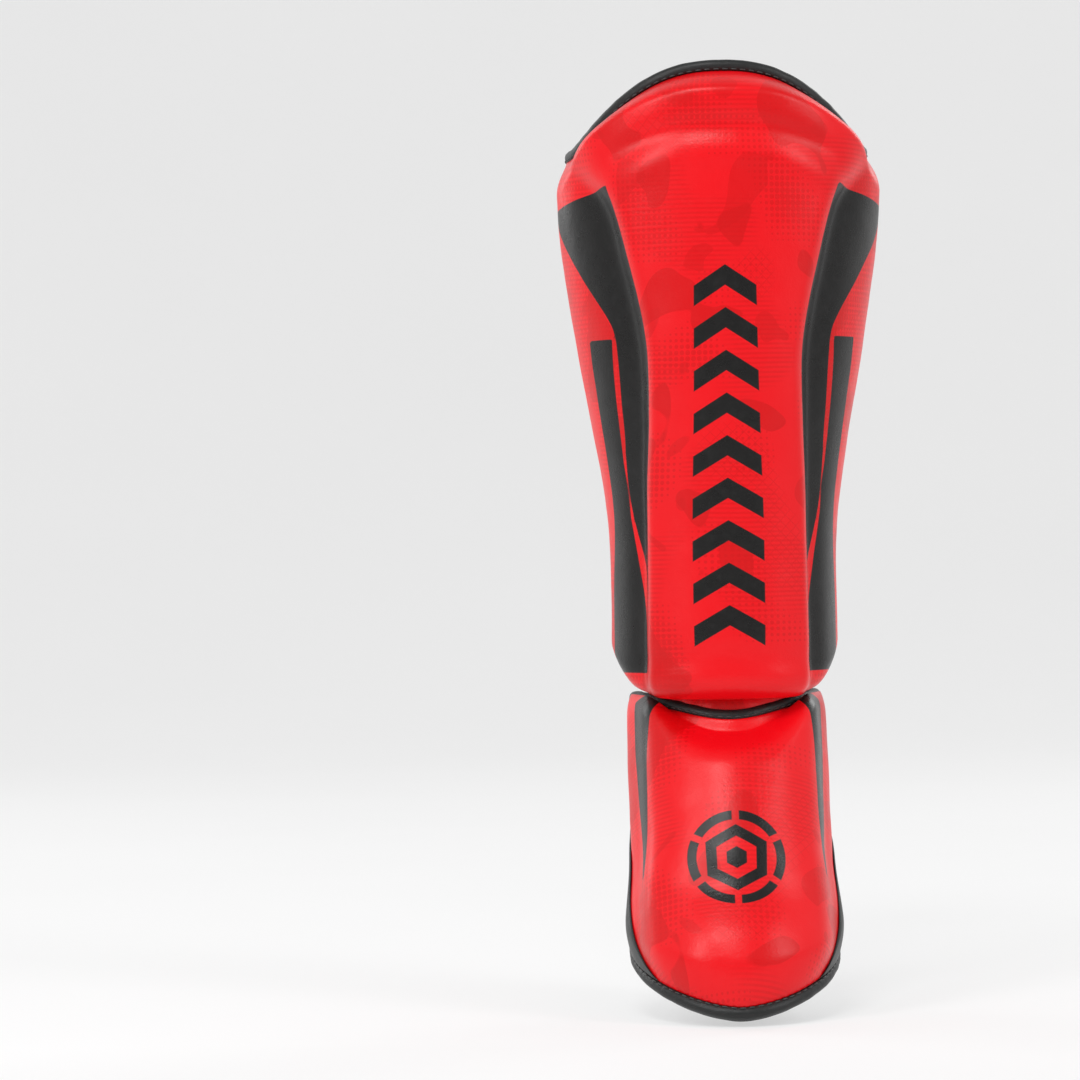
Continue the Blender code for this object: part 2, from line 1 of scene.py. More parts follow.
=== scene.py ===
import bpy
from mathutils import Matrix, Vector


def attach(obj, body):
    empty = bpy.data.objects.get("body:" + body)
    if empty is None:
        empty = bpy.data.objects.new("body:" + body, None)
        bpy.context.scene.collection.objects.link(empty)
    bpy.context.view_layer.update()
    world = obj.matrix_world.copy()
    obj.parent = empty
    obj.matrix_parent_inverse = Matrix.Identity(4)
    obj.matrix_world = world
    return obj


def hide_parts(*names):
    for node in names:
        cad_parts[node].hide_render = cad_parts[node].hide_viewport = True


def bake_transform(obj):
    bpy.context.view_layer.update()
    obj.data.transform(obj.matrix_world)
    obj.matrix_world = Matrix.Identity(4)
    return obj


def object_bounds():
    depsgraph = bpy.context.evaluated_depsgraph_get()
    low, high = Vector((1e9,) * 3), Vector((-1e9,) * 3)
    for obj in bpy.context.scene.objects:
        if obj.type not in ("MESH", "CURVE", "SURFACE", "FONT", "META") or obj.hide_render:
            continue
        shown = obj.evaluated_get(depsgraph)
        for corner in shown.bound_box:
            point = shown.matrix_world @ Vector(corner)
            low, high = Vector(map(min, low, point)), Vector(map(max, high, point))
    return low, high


bl_info = {
    "name": "Shin guard",
    "version": (1, 0, 0),
    "blender": (4, 5, 0),
    "location": "View3D > Sidebar > Shin guard",
    "description": "Dresses a shin guard's frame in printed skin, knit, webbing and stitching",
    "category": "Add Mesh",
}

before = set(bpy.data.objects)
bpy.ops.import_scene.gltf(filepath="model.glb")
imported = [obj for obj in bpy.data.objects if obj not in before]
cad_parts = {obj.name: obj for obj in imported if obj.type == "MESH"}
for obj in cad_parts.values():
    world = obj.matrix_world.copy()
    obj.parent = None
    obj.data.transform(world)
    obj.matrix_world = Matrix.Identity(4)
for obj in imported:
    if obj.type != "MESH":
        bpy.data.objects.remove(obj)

import math

import bmesh
import bpy
import numpy as np
from bpy.props import FloatProperty, FloatVectorProperty, PointerProperty
from mathutils import Vector, noise

CAD_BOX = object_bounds()
MM = 0.001


# ---- Leg channel and layers, as the frame has them ------------------------------------------

# (height, half-width, front depth, back depth) of the leg channel
LEG = np.array((
    (0.000, 0.0410, 0.0440, 0.0430),
    (0.085, 0.0415, 0.0450, 0.0440),
    (0.168, 0.0550, 0.0500, 0.0540),
    (0.247, 0.0662, 0.0550, 0.0600),
    (0.300, 0.0655, 0.0560, 0.0600),
))
# (distance along the instep, half-width, depth) of the foot channel
FOOT = np.array((
    (-0.025, 0.0400, 0.0430),
    (0.020, 0.0405, 0.0420),
    (0.070, 0.0400, 0.0400),
    (0.110, 0.0430, 0.0400),
    (0.165, 0.0400, 0.0360),
))
EDGE = 0.0062           # stack of layers along the shin pad's edge
INSTEP_EDGE = 0.0058
LINING = 0.0020
GAP = 0.0003
EAR_TOP = 0.2600
ARCH_RISE = 0.0370
ARCH_ANGLE = 80.0
ARCH_FULLNESS = 1.2
FRONT_LOW = 0.0072
SIDE_LOW = 0.0200
FLAT_ANGLE = 25.0
FRONT_ANGLE = 80.0
SCOOP_ANGLE = 98.0
EAR_ANGLE = 158.0
EAR_SLOPE = 0.0200
CORNER_RADIUS = 0.0080
CORNER_ANGLE = 7.0
OPEN_BOTTOM = 60.0      # no binding in front of this angle at the bottom
UPPER_SPAN = (0.1920, 0.2585)
LOWER_SPAN = (0.0270, 0.0930)
STRAP_INNER = 0.0103    # the straps' faces, as distances outside the channel
STRAP_OUTER = 0.0142
TILT = math.radians(28.0)
ANKLE_Y = -0.0471
TOE_LENGTH = 0.1580
TOE_SIDE = 0.0920
TOE_SQUARENESS = 1.7
INSTEP_ANGLE = 92.0
TAB_ANGLE = 104.0
TAB_START = 0.0680
TAB_SLOPE = 0.0300
INSTEP_TOP = -0.00705
INSTEP_SIDE_RISE = 0.0040


# ---- What the soft shapes add to the frame ----------------------------------------------------

RIDGE_RISE = 0.0088     # the shin's centre ridge, above the wings
RIDGE_CROWN = 0.10      # share of the rise that is lost 40 degrees from the middle
WING_THICK = 0.0148
COVE_DEPTH = 0.0014     # the hollow between ridge and wing
FOLD_PLACE, FOLD_DEPTH = 0.0270, 0.0021     # soft fold under the knee arch
CREASE_PLACE, CREASE_DEPTH = 0.0150, 0.0007     # shallow crease above the ankle
LIP_DROP = 0.0102       # how far the shin pad's face hangs over its lower edge
UNDER_EDGE = 0.0030     # thickness that the face rolls in to under the lip
INSTEP_WALL = 0.0090
INSTEP_CROWN = 0.0058
TOE_BULGE, TOE_DENT = 0.0022, 0.0012
EDGE_DIP = 0.0052       # how much lower the instep's top edge lies in the middle
SHOULDER_RISE, MIDDLE_DROP = 0.0066, 0.0040     # the instep's face over that edge
TAPE_CENTRE = 2.6 * MM  # how far in from a pad's edge the middle of its tape lies
FOOT_STRAP_START, FOOT_STRAP_WIDTH, FOOT_STRAP_DEPTH = 0.0040, 0.0440, 0.0375
FOOT_STRAP_SAG = 0.0022
GUSSET_ANGLE, GUSSET_WIDTH = 57.0, 0.094
SHIN_FACE, INSTEP_FACE = 0.0225, 0.0135     # how far outside the channel the print is measured
ROOT_ANGLE, HINGE_ANGLE, SEAM_ANGLE = -131.0, -148.7, -210.0
TIP_ANGLE, TIP_ROUND = -238.0, 24.0
STRAP_RADIUS = 0.0895
BADGE_X = math.radians(-180.0) * STRAP_RADIUS
INSTEP_BADGE_Y, INSTEP_BADGE_RADIUS = 0.0870, 0.0235
CHEVRON_PITCH, CHEVRON_HALF, CHEVRON_BAR, CHEVRON_LEAN = 0.0200, 0.0158, 0.0048, 0.62
CHEVRON_ENDS = (0.0290, 0.2110)

# The centre ridge's edge, and the two stripes' edges, as angles by height
RIDGE_EDGE = (
    (0.010, 0.090, 0.135, 0.165, 0.205, 0.238, 0.262, 0.300),
    (39, 37, 32, 30, 34, 40, 54, 70),
)
INNER_STRIPE = (
    (0.047, 0.090, 0.135, 0.1645, 0.179, 0.204, 0.224, 0.244),
    (38.0, 36.7, 31.8, 30.0, 30.8, 33.8, 37.0, 40.5),
    (38.0, 51.8, 49.4, 47.5, 49.2, 64.0, 77.0, 83.0),
)
OUTER_STRIPE = (
    (0.0125, 0.029, 0.047, 0.0675, 0.090, 0.121, 0.139, 0.160, 0.172),
    (42.0, 42.5, 45.7, 50.0, 53.5, 53.0, 52.0, 50.6, 49.5),
    (74.0, 75.0, 75.0, 72.5, 69.0, 67.0, 66.5, 66.0, 65.0),
)
STRIPE_CORNER = 0.009   # round corner at the outer stripe's foot
# The same for the instep, by distance towards the toes
TOE_PANEL_EDGE = ((0.038, 0.052, 0.067, 0.098, 0.118, 0.1372), (92.5, 85, 78, 71, 64, 52))
INSTEP_STRIPE = (
    (-0.0095, 0.000, 0.023, 0.059, 0.092),
    (41.0, 42.5, 46.5, 49.5, 55.0),
    (65.0, 65.0, 64.0, 60.0, 55.0),
)
# Rings of one stitch: place along it, thickness and lift
STITCH_SHAPE = (
    (-0.5, 0.35, -0.35), (-0.38, 0.8, 0.35), (-0.15, 1.0, 0.75),
    (0.15, 1.0, 0.75), (0.38, 0.8, 0.35), (0.5, 0.35, -0.35),
)


def smooth(x):
    """0 below 0, 1 above 1, and an S-curve between."""
    x = np.clip(x, 0.0, 1.0)
    return x * x * (3.0 - 2.0 * x)


def bell(x, middle, width):
    """1 in the middle, and falling off on both sides."""
    return np.exp(-(((x - middle) / width) ** 2))


def round_off(x):
    """0 below 0, 1 above 1, and a full round shoulder between."""
    return np.sqrt(smooth(x))


def through(x, places, values):
    """A smooth curve through the given values."""
    places, values = np.asarray(places, float), np.asarray(values, float)
    x = np.clip(x, places[0], places[-1])
    i = np.clip(np.searchsorted(places, x, side="right") - 1, 0, len(places) - 2)
    before, after = np.maximum(i - 1, 0), np.minimum(i + 2, len(places) - 1)
    span = places[i + 1] - places[i]
    t = (x - places[i]) / span
    start = (values[i + 1] - values[before]) / (places[i + 1] - places[before])
    end = (values[after] - values[i]) / (places[after] - places[i])
    return (
        values[i] * (1 + 2 * t) * (1 - t) ** 2
        + values[i + 1] * t * t * (3 - 2 * t)
        + start * span * t * (1 - t) ** 2
        - end * span * t * t * (1 - t)
    )


def corner_cut(distance):
    """How far a rounded corner cuts in, as a share of it, at a distance from the edge."""
    x = 1.0 - np.clip(distance / CORNER_RADIUS, 0.0, 1.0)
    return 1.0 - np.sqrt(1.0 - x * x)


# ---- Shin section -----------------------------------------------------------------------------

def shin_wrap(angle, z, t):
    """Points at these angles round the leg, heights, and distances outside the channel."""
    angle, z, t = np.broadcast_arrays(angle, z, t)
    a = np.radians(angle)
    half = through(z, LEG[:, 0], LEG[:, 1])
    front, back = through(z, LEG[:, 0], LEG[:, 2]), through(z, LEG[:, 0], LEG[:, 3])
    depth = np.where(np.cos(a) > 0, front, back)
    normal = np.stack([np.sin(a) / half, -np.cos(a) / depth, np.zeros_like(a)], axis=-1)
    normal /= np.linalg.norm(normal, axis=-1, keepdims=True)
    base = np.stack([half * np.sin(a), -depth * np.cos(a), z], axis=-1)
    return base + t[..., None] * normal


def shin_top(angle):
    share = np.minimum(1.0, np.abs(angle) / ARCH_ANGLE) ** ARCH_FULLNESS
    rise = 0.5 + 0.5 * np.cos(math.pi * share)
    return EAR_TOP + ARCH_RISE * rise


def shin_low(angle):
    rise = smooth((np.abs(angle) - FLAT_ANGLE) / (SCOOP_ANGLE - FLAT_ANGLE))
    return FRONT_LOW + (SIDE_LOW - FRONT_LOW) * rise


def ear(z, low, high):
    return smooth((z - low) / EAR_SLOPE) * smooth((high - z) / EAR_SLOPE)


def shin_side(z):
    """How far round the side edge is at this height."""
    reach = EAR_SLOPE * 0.7
    grown = np.maximum(
        ear(z, LOWER_SPAN[0] - reach, LOWER_SPAN[1] + reach),
        ear(z, UPPER_SPAN[0] - reach, EAR_TOP + EAR_SLOPE),
    )
    cut = corner_cut(EAR_TOP - z) + corner_cut(z - SIDE_LOW)
    return SCOOP_ANGLE + (EAR_ANGLE - SCOOP_ANGLE) * grown - CORNER_ANGLE * cut


def shin_outline(u, v, front_share=0.60):
    """(angle, height) for u from -1 to 1 across and v from 0 to 1 up."""
    side_z = SIDE_LOW + (EAR_TOP - SIDE_LOW) * v
    past = np.maximum(0.0, np.abs(u) - front_share) / (1.0 - front_share)
    angle = FRONT_ANGLE * np.minimum(np.abs(u) / front_share, 1.0)
    angle = np.sign(u) * (angle + (shin_side(side_z) - FRONT_ANGLE) * past)
    low = shin_low(angle)
    return angle, low + (shin_top(angle) - low) * v


def shin_body(angle, z):
    """Thickness of the pad away from its edges: ridge, cove and wing."""
    side = np.abs(angle)
    ridge_end = through(z, *RIDGE_EDGE)
    fades = smooth((z - 0.232) / 0.034)
    ridge = smooth((ridge_end - side) / (13.0 + 22.0 * fades) + 0.62)
    wing = smooth((SCOOP_ANGLE - side) / (16.0 + 9.0 * smooth((z - 0.200) / 0.050)))
    cove = bell(side - ridge_end, 8.5, 7.5) * (1.0 - fades) * smooth((z - 0.012) / 0.02)
    crown = np.maximum(1.0 - RIDGE_CROWN * (side / 40.0) ** 2, 0.8)
    return EDGE + (WING_THICK - EDGE) * wing + RIDGE_RISE * ridge * crown - COVE_DEPTH * cove


def shin_hang(angle, z):
    """How far the pad's face hangs down over its own lower edge, in front."""
    low = z - shin_low(angle)
    lip = smooth(low / 0.0030) * smooth((0.034 - low) / 0.030)
    return LIP_DROP * lip * smooth((97.0 - np.abs(angle)) / 38.0)


def shin_thick(angle, z):
    """Thickness of the whole pad, with its rims and soft dents."""
    side = np.abs(angle)
    top, low = shin_top(angle) - z, z - shin_low(angle)
    fold = bell(top, FOLD_PLACE, 0.0062) - 0.35 * bell(top, 0.0400, 0.006)
    full = shin_body(angle, z) - FOLD_DEPTH * fold * smooth((50.0 - side) / 28.0)
    crease = bell(low - 0.003 * np.cos(np.radians(side * 2)), CREASE_PLACE, 0.0045)
    full = full - CREASE_DEPTH * crease * smooth((70.0 - side) / 40.0)
    # In front the lower rim rolls right under the lip, and at the sides it only rounds off
    under = smooth((75.0 - side) / 20.0)
    low_roll = np.sqrt(np.clip(1.0 - (1.0 - np.clip(low / 0.0130, 0.0, 1.0)) ** 2, 0.0, 1.0))
    roll = low_roll * under + round_off(low / 0.0115) * (1.0 - under)
    start = EDGE * (1.0 - under) + UNDER_EDGE * under
    rolled = start + (full - start) * roll
    top_reach = 0.0110 + 0.0070 * smooth((side - 50.0) / 25.0)
    return EDGE + (rolled - EDGE) * round_off(top / top_reach)


# ---- Instep section ---------------------------------------------------------------------------

def instep_wrap(angle, s, t):
    """Points over the foot: at these angles, distances towards the toes, and distances outwards."""
    angle, s, t = np.broadcast_arrays(angle, s, t)
    a = np.radians(angle)
    half, depth = through(s, FOOT[:, 0], FOOT[:, 1]), through(s, FOOT[:, 0], FOOT[:, 2])
    side, out = np.sin(a) / half, np.cos(a) / depth
    size = np.sqrt(side * side + out * out)
    x = half * np.sin(a) + t * side / size
    n = depth * (np.cos(a) - 1.0) + t * out / size - INSTEP_EDGE / 2
    return instep_place(x, s, n)


def instep_place(x, s, n):
    """World places of points in the instep's own frame: across, towards the toes and outwards."""
    y = ANKLE_Y - s * math.sin(TILT) - n * math.cos(TILT)
    z = -s * math.cos(TILT) + n * math.sin(TILT)
    return np.stack(np.broadcast_arrays(x, y, z), axis=-1)


def instep_top(angle):
    drop = FOOT[0, 2] * (1.0 - np.cos(np.radians(angle))) + INSTEP_EDGE / 2
    height = INSTEP_TOP + INSTEP_SIDE_RISE * np.sin(np.radians(angle)) ** 2
    height = height - EDGE_DIP * bell(angle, 0.0, 33.0)
    return -(height + drop * math.sin(TILT)) / math.cos(TILT)


def instep_toe(angle):
    sweep = np.minimum(1.0, np.abs(angle) / TAB_ANGLE) ** TOE_SQUARENESS
    return TOE_LENGTH - (TOE_LENGTH - TOE_SIDE) * sweep


def instep_side(s):
    tab = smooth((s - TAB_START + TAB_SLOPE) / TAB_SLOPE)
    top = instep_top(INSTEP_ANGLE)
    cut = corner_cut(s - top) + corner_cut(TOE_SIDE - s)
    return INSTEP_ANGLE + (TAB_ANGLE - INSTEP_ANGLE) * tab - CORNER_ANGLE * cut


def instep_outline(u, v):
    side_top = instep_top(INSTEP_ANGLE)
    side_s = side_top + (TOE_SIDE - side_top) * v
    angle = u * instep_side(side_s)
    top = instep_top(angle)
    return angle, top + (instep_toe(angle) - top) * v


def instep_shoulder(angle, s):
    """How far the cover's face puffs up over its own top edge, beside the middle."""
    side, top = np.abs(angle), s - instep_top(angle)
    lip = smooth(top / 0.0030) * smooth((0.030 - top) / 0.027)
    beside = smooth((side - 28.0) / 24.0) * smooth((94.0 - side) / 20.0)
    return lip * (SHOULDER_RISE * beside - MIDDLE_DROP * smooth((40.0 - side) / 32.0))


def instep_thick(angle, s):
    """Thickness of the whole instep pad, with its crown, toe bulge and rims."""
    side = np.abs(angle)
    crown, wall = smooth((56.0 - side) / 26.0 + 0.4), smooth((INSTEP_ANGLE + 2.0 - side) / 18.0)
    full = INSTEP_EDGE + (INSTEP_WALL - INSTEP_EDGE) * wall + INSTEP_CROWN * crown
    middle = smooth((50 - side) / 40)
    full = full + (TOE_BULGE * bell(s, 0.128, 0.016) - TOE_DENT * bell(s, 0.1, 0.012)) * middle
    front = smooth((46.0 - side) / 30.0)
    roll = round_off((instep_toe(angle) - s) / 0.020)
    roll = roll * round_off((s - instep_top(angle)) / (0.012 + 0.016 * front))
    return INSTEP_EDGE + (full - INSTEP_EDGE) * roll


# ---- Meshes -------------------------------------------------------------------------------------

def settings():
    """The sizes and colours set in the sidebar."""
    return bpy.context.scene.shin_guard


def ripple(points, size, seed=0.0):
    """Soft noise from -1 to 1 at these points, with bumps of about this size."""
    shift = Vector((seed, seed * 0.7, -seed))
    flat = points.reshape(-1, 3) / size
    return np.array([noise.noise(Vector(p) + shift) for p in flat]).reshape(points.shape[:-1])


def finish_mesh(name, points, faces, uv=None, paints=(), paint_of=None, attributes=None):
    """An object from points and faces, smooth shaded, with an optional UV for each point."""
    mesh = bpy.data.meshes.new(name)
    mesh.from_pydata(points.reshape(-1, 3).tolist(), [], faces)
    mesh.validate()
    corner = np.empty(len(mesh.loops), dtype=np.int32)
    mesh.loops.foreach_get("vertex_index", corner)
    if uv is not None:
        layer = mesh.uv_layers.new(name="wrap")
        layer.data.foreach_set("uv", uv.reshape(-1, 2)[corner].astype(np.float32).ravel())
    for key, values in (attributes or {}).items():
        spot = mesh.attributes.new(key, "FLOAT", "POINT")
        spot.data.foreach_set("value", np.asarray(values, dtype=np.float32).ravel())
    for paint in paints:
        mesh.materials.append(paint)
    if paint_of is not None:
        mesh.polygons.foreach_set("material_index", np.asarray(paint_of, dtype=np.int32))
    mesh.shade_smooth()
    piece = bpy.data.objects.new(name, mesh)
    bpy.context.scene.collection.objects.link(piece)
    return piece


def slab(name, inner, outer, uv, paints, inner_paint=0, attributes=None):
    """A closed sheet between two grids of points of the same size."""
    rows, columns = outer.shape[:2]
    count = rows * columns
    index = np.arange(count).reshape(rows, columns)
    quads = np.stack([index[:-1, :-1], index[:-1, 1:], index[1:, 1:], index[1:, :-1]], axis=-1)
    quads = quads.reshape(-1, 4)
    ring = np.concatenate([
        index[0, :-1], index[:-1, -1], index[-1, :0:-1], index[:0:-1, 0]
    ])
    step = np.roll(ring, -1)
    walls = np.stack([ring + count, step + count, step, ring], axis=-1)
    faces = np.concatenate([quads, quads[:, ::-1] + count, walls])
    paint_of = np.repeat([0, inner_paint], [len(quads), len(quads) + len(walls)])
    points = np.concatenate([outer.reshape(-1, 3), inner.reshape(-1, 3)])
    flat_uv = np.concatenate([uv.reshape(-1, 2)] * 2)
    spots = {key: np.concatenate([value.ravel()] * 2) for key, value in (attributes or {}).items()}
    piece = finish_mesh(name, points, faces.tolist(), flat_uv, paints, paint_of, spots)
    face_outwards(piece)
    return piece


def face_outwards(piece):
    """Turns a closed mesh's faces outwards if its volume comes out negative."""
    shell = bmesh.new()
    shell.from_mesh(piece.data)
    if shell.calc_volume(signed=True) < 0:
        piece.data.flip_normals()
    shell.free()


def grid(across, along):
    """u from -1 to 1 and v from 0 to 1 on a grid."""
    u, v = np.meshgrid(np.linspace(-1, 1, across + 1), np.linspace(0, 1, along + 1))
    return u, v


def pad_grid(across, along):
    """The same, with closer rows by the ends, where a pad's face rolls over."""
    ends = np.linspace(0.0, 0.03, 14)
    v = np.concatenate([ends[:-1], np.linspace(0.03, 0.97, along), 1.0 - ends[-2::-1]])
    return np.meshgrid(np.linspace(-1, 1, across + 1), v)


def round_the_border(across, along):
    """(u, v) once round the border, from the middle of the bottom edge."""
    half = across // 2
    u = [i / half for i in range(half)] + [1.0] * along + [1 - i / half for i in range(across)]
    u += [-1.0] * along + [i / half - 1.0 for i in range(half)]
    v = [0.0] * half + [j / along for j in range(along)] + [1.0] * across
    v += [1 - j / along for j in range(along)] + [0.0] * half
    return np.array(u), np.array(v)


def even_path(points, normals, spacing, closed):
    """Points and normals moved to even spacing along their path."""
    if closed:
        points = np.concatenate([points, points[:1]])
        normals = np.concatenate([normals, normals[:1]])
    steps = np.linalg.norm(np.diff(points, axis=0), axis=1)
    run = np.concatenate([[0], np.cumsum(steps)])
    count = max(8, int(round(run[-1] / spacing)))
    at = np.linspace(0, run[-1], count, endpoint=not closed)
    move = lambda data: np.stack([np.interp(at, run, data[:, k]) for k in range(3)], axis=-1)
    points, normals = move(points), move(normals)
    return points, normals / np.linalg.norm(normals, axis=1, keepdims=True), at


def directions(points, closed):
    """Unit tangents along a path."""
    if closed:
        tangent = np.roll(points, -1, axis=0) - np.roll(points, 1, axis=0)
    else:
        tangent = np.gradient(points, axis=0)
    return tangent / np.linalg.norm(tangent, axis=1, keepdims=True)


def soften(points, closed, rounds):
    """Evens out a path's kinks."""
    for _ in range(rounds):
        before, after = np.roll(points, 1, axis=0), np.roll(points, -1, axis=0)
        eased = (before + 2 * points + after) / 4
        if not closed:
            eased[0], eased[-1] = points[0], points[-1]
        points = eased
    return points


class Edge:
    """A pad's border, ready to be bound: even points, outward normals and sideways directions."""

    def __init__(self, points, normals, closed, side=1.0, spacing=0.0014):
        self.closed = closed
        points, normals, self.run = even_path(points, normals, spacing, closed)
        points = soften(points, closed, 3)
        along = directions(points, closed)
        across = np.cross(along, normals) * side
        across /= np.linalg.norm(across, axis=1, keepdims=True)
        self.points, self.along, self.across = points, along, across
        self.normals = np.cross(across, along) * side
        self.normals /= np.linalg.norm(self.normals, axis=1, keepdims=True)

    def at(self, sideways, outwards):
        return self.points + self.across * sideways + self.normals * outwards


def pad_edge(outline, wrap, thick, u, v, keep=None, side=1.0, closed=True):
    """The Edge along border points (u, v), at mid thickness."""
    angle, along = outline(u, v)
    if keep is not None:
        chosen = keep(angle, along)
        angle, along = angle[chosen], along[chosen]
    points = wrap(angle, along, thick / 2)
    normals = wrap(angle, along, thick / 2 + MM) - points
    return Edge(points, normals / np.linalg.norm(normals, axis=1, keepdims=True), closed, side)


def bind(name, edge, seed, width, depth):
    """Binding tape folded round an edge, drawn in a little at every stitch."""
    pitch = settings().stitch_pitch
    sides = 18
    turn = np.linspace(0, 2 * math.pi, sides, endpoint=False)
    cos, sin = np.cos(turn), np.sin(turn)
    shape = (np.abs(cos) ** 2.6 + np.abs(sin) ** 2.6) ** (-1 / 2.6)
    wave = np.sin(edge.run * 2 * math.pi / pitch)[:, None]
    near_stitch = bell(np.abs(sin), 0.8, 0.25) * (cos < 0.3)
    places = edge.points[:, None, :] + np.stack([cos, sin, sin * 0], -1)[None] * 3 * MM
    swell = 0.20 * MM * (0.55 * wave * near_stitch + 0.9 * ripple(places, 0.0055, seed))
    x = TAPE_CENTRE + (width / 2 * shape + swell) * cos
    y = (depth / 2 * shape + swell) * sin
    points = (
        edge.points[:, None, :]
        + edge.across[:, None, :] * x[..., None]
        + edge.normals[:, None, :] * y[..., None]
    )
    if not edge.closed:
        for end in (0, -1):
            middle = points[end].mean(axis=0)
            points[end] = middle + (points[end] - middle) * 0.75
    count = len(edge.points)
    rows = count if edge.closed else count - 1
    i, j = np.meshgrid(np.arange(rows), np.arange(sides), indexing="ij")
    here, beyond, k = i * sides, (i + 1) % count * sides, (j + 1) % sides
    faces = np.stack([here + j, here + k, beyond + k, beyond + j], -1)
    faces = faces.reshape(-1, 4).tolist()
    if not edge.closed:
        faces += [list(range(sides)), list(range((count - 1) * sides, count * sides))[::-1]]
    uv = np.stack(np.broadcast_arrays(edge.run[:, None], turn[None] * 0.0035), axis=-1)
    piece = finish_mesh(name, points, faces, uv, [paint_of("binding_tape")])
    face_outwards(piece)
    return piece


def stitch_row(places, along, up, length, radius):
    """Points and faces of one stitch at each place, each a short arched run of thread."""
    sides = 5
    turn = np.linspace(0, 2 * math.pi, sides, endpoint=False)
    sideways = np.cross(along, up)
    rings = []
    for reach, size, lift in STITCH_SHAPE:
        middle = places + along * (reach * length) + up * (lift * radius)
        ring = (
            middle[:, None, :]
            + sideways[:, None, :] * (np.cos(turn) * radius * size)[None, :, None]
            + up[:, None, :] * (np.sin(turn) * radius * size * 0.8)[None, :, None]
        )
        rings.append(ring)
    points = np.stack(rings, axis=1)
    ends = len(STITCH_SHAPE)
    face = []
    for k in range(ends - 1):
        for j in range(sides):
            n = (j + 1) % sides
            face.append((k * sides + j, k * sides + n, (k + 1) * sides + n, (k + 1) * sides + j))
    caps = [tuple(range(sides))[::-1], tuple(range((ends - 1) * sides, ends * sides))]
    step = ends * sides
    faces = [tuple(v + m * step for v in f) for m in range(len(places)) for f in face + caps]
    return points.reshape(-1, 3), faces


def stitches(name, rows, sizes=None):
    """Rows of stitches in one piece, of these sizes. Each row is (points, outward normals)."""
    looks = settings()
    pitch, length, radius = sizes or (looks.stitch_pitch, looks.stitch_length, looks.thread_radius)
    all_points, all_faces, used = [], [], 0
    for path, normals in rows:
        places, ups, _ = even_path(np.asarray(path), np.asarray(normals), pitch, False)
        along = directions(places, False)
        ups = ups - along * np.einsum("ij,ij->i", ups, along)[:, None]
        ups /= np.linalg.norm(ups, axis=1, keepdims=True)
        points, faces = stitch_row(places, along, ups, length, radius)
        all_points.append(points)
        all_faces += [tuple(v + used for v in face) for face in faces]
        used += len(points)
    return finish_mesh(name, np.concatenate(all_points), all_faces, None, [paint_of("thread")])


def tape_stitches(edge, sideways=0.9 * MM, outwards=3.35 * MM, both=True):
    """Two rows of stitches on a bound edge, one on each face of the tape."""
    rows = [(edge.at(sideways, outwards), edge.normals)]
    if both:
        rows.append((edge.at(sideways, -outwards), -edge.normals))
    if edge.closed:
        return [(np.concatenate([p, p[:1]]), np.concatenate([n, n[:1]])) for p, n in rows]
    return [(p[3:-3], n[3:-3]) for p, n in rows]


# ---- Shader maths ---------------------------------------------------------------------------

class Field:
    """A shader socket that can be used in sums like a number."""

    def __init__(self, paint, socket):
        self.paint, self.socket = paint, socket

    def __add__(self, other):
        return self.paint.sum("ADD", self, other)

    def __sub__(self, other):
        return self.paint.sum("SUBTRACT", self, other)

    def __rsub__(self, other):
        return self.paint.sum("SUBTRACT", other, self)

    def __mul__(self, other):
        return self.paint.sum("MULTIPLY", self, other)

    def __truediv__(self, other):
        return self.paint.sum("DIVIDE", self, other)

    def __pow__(self, other):
        return self.paint.sum("POWER", self, other)

    def __abs__(self):
        return self.paint.sum("ABSOLUTE", self)

    __radd__, __rmul__ = __add__, __mul__


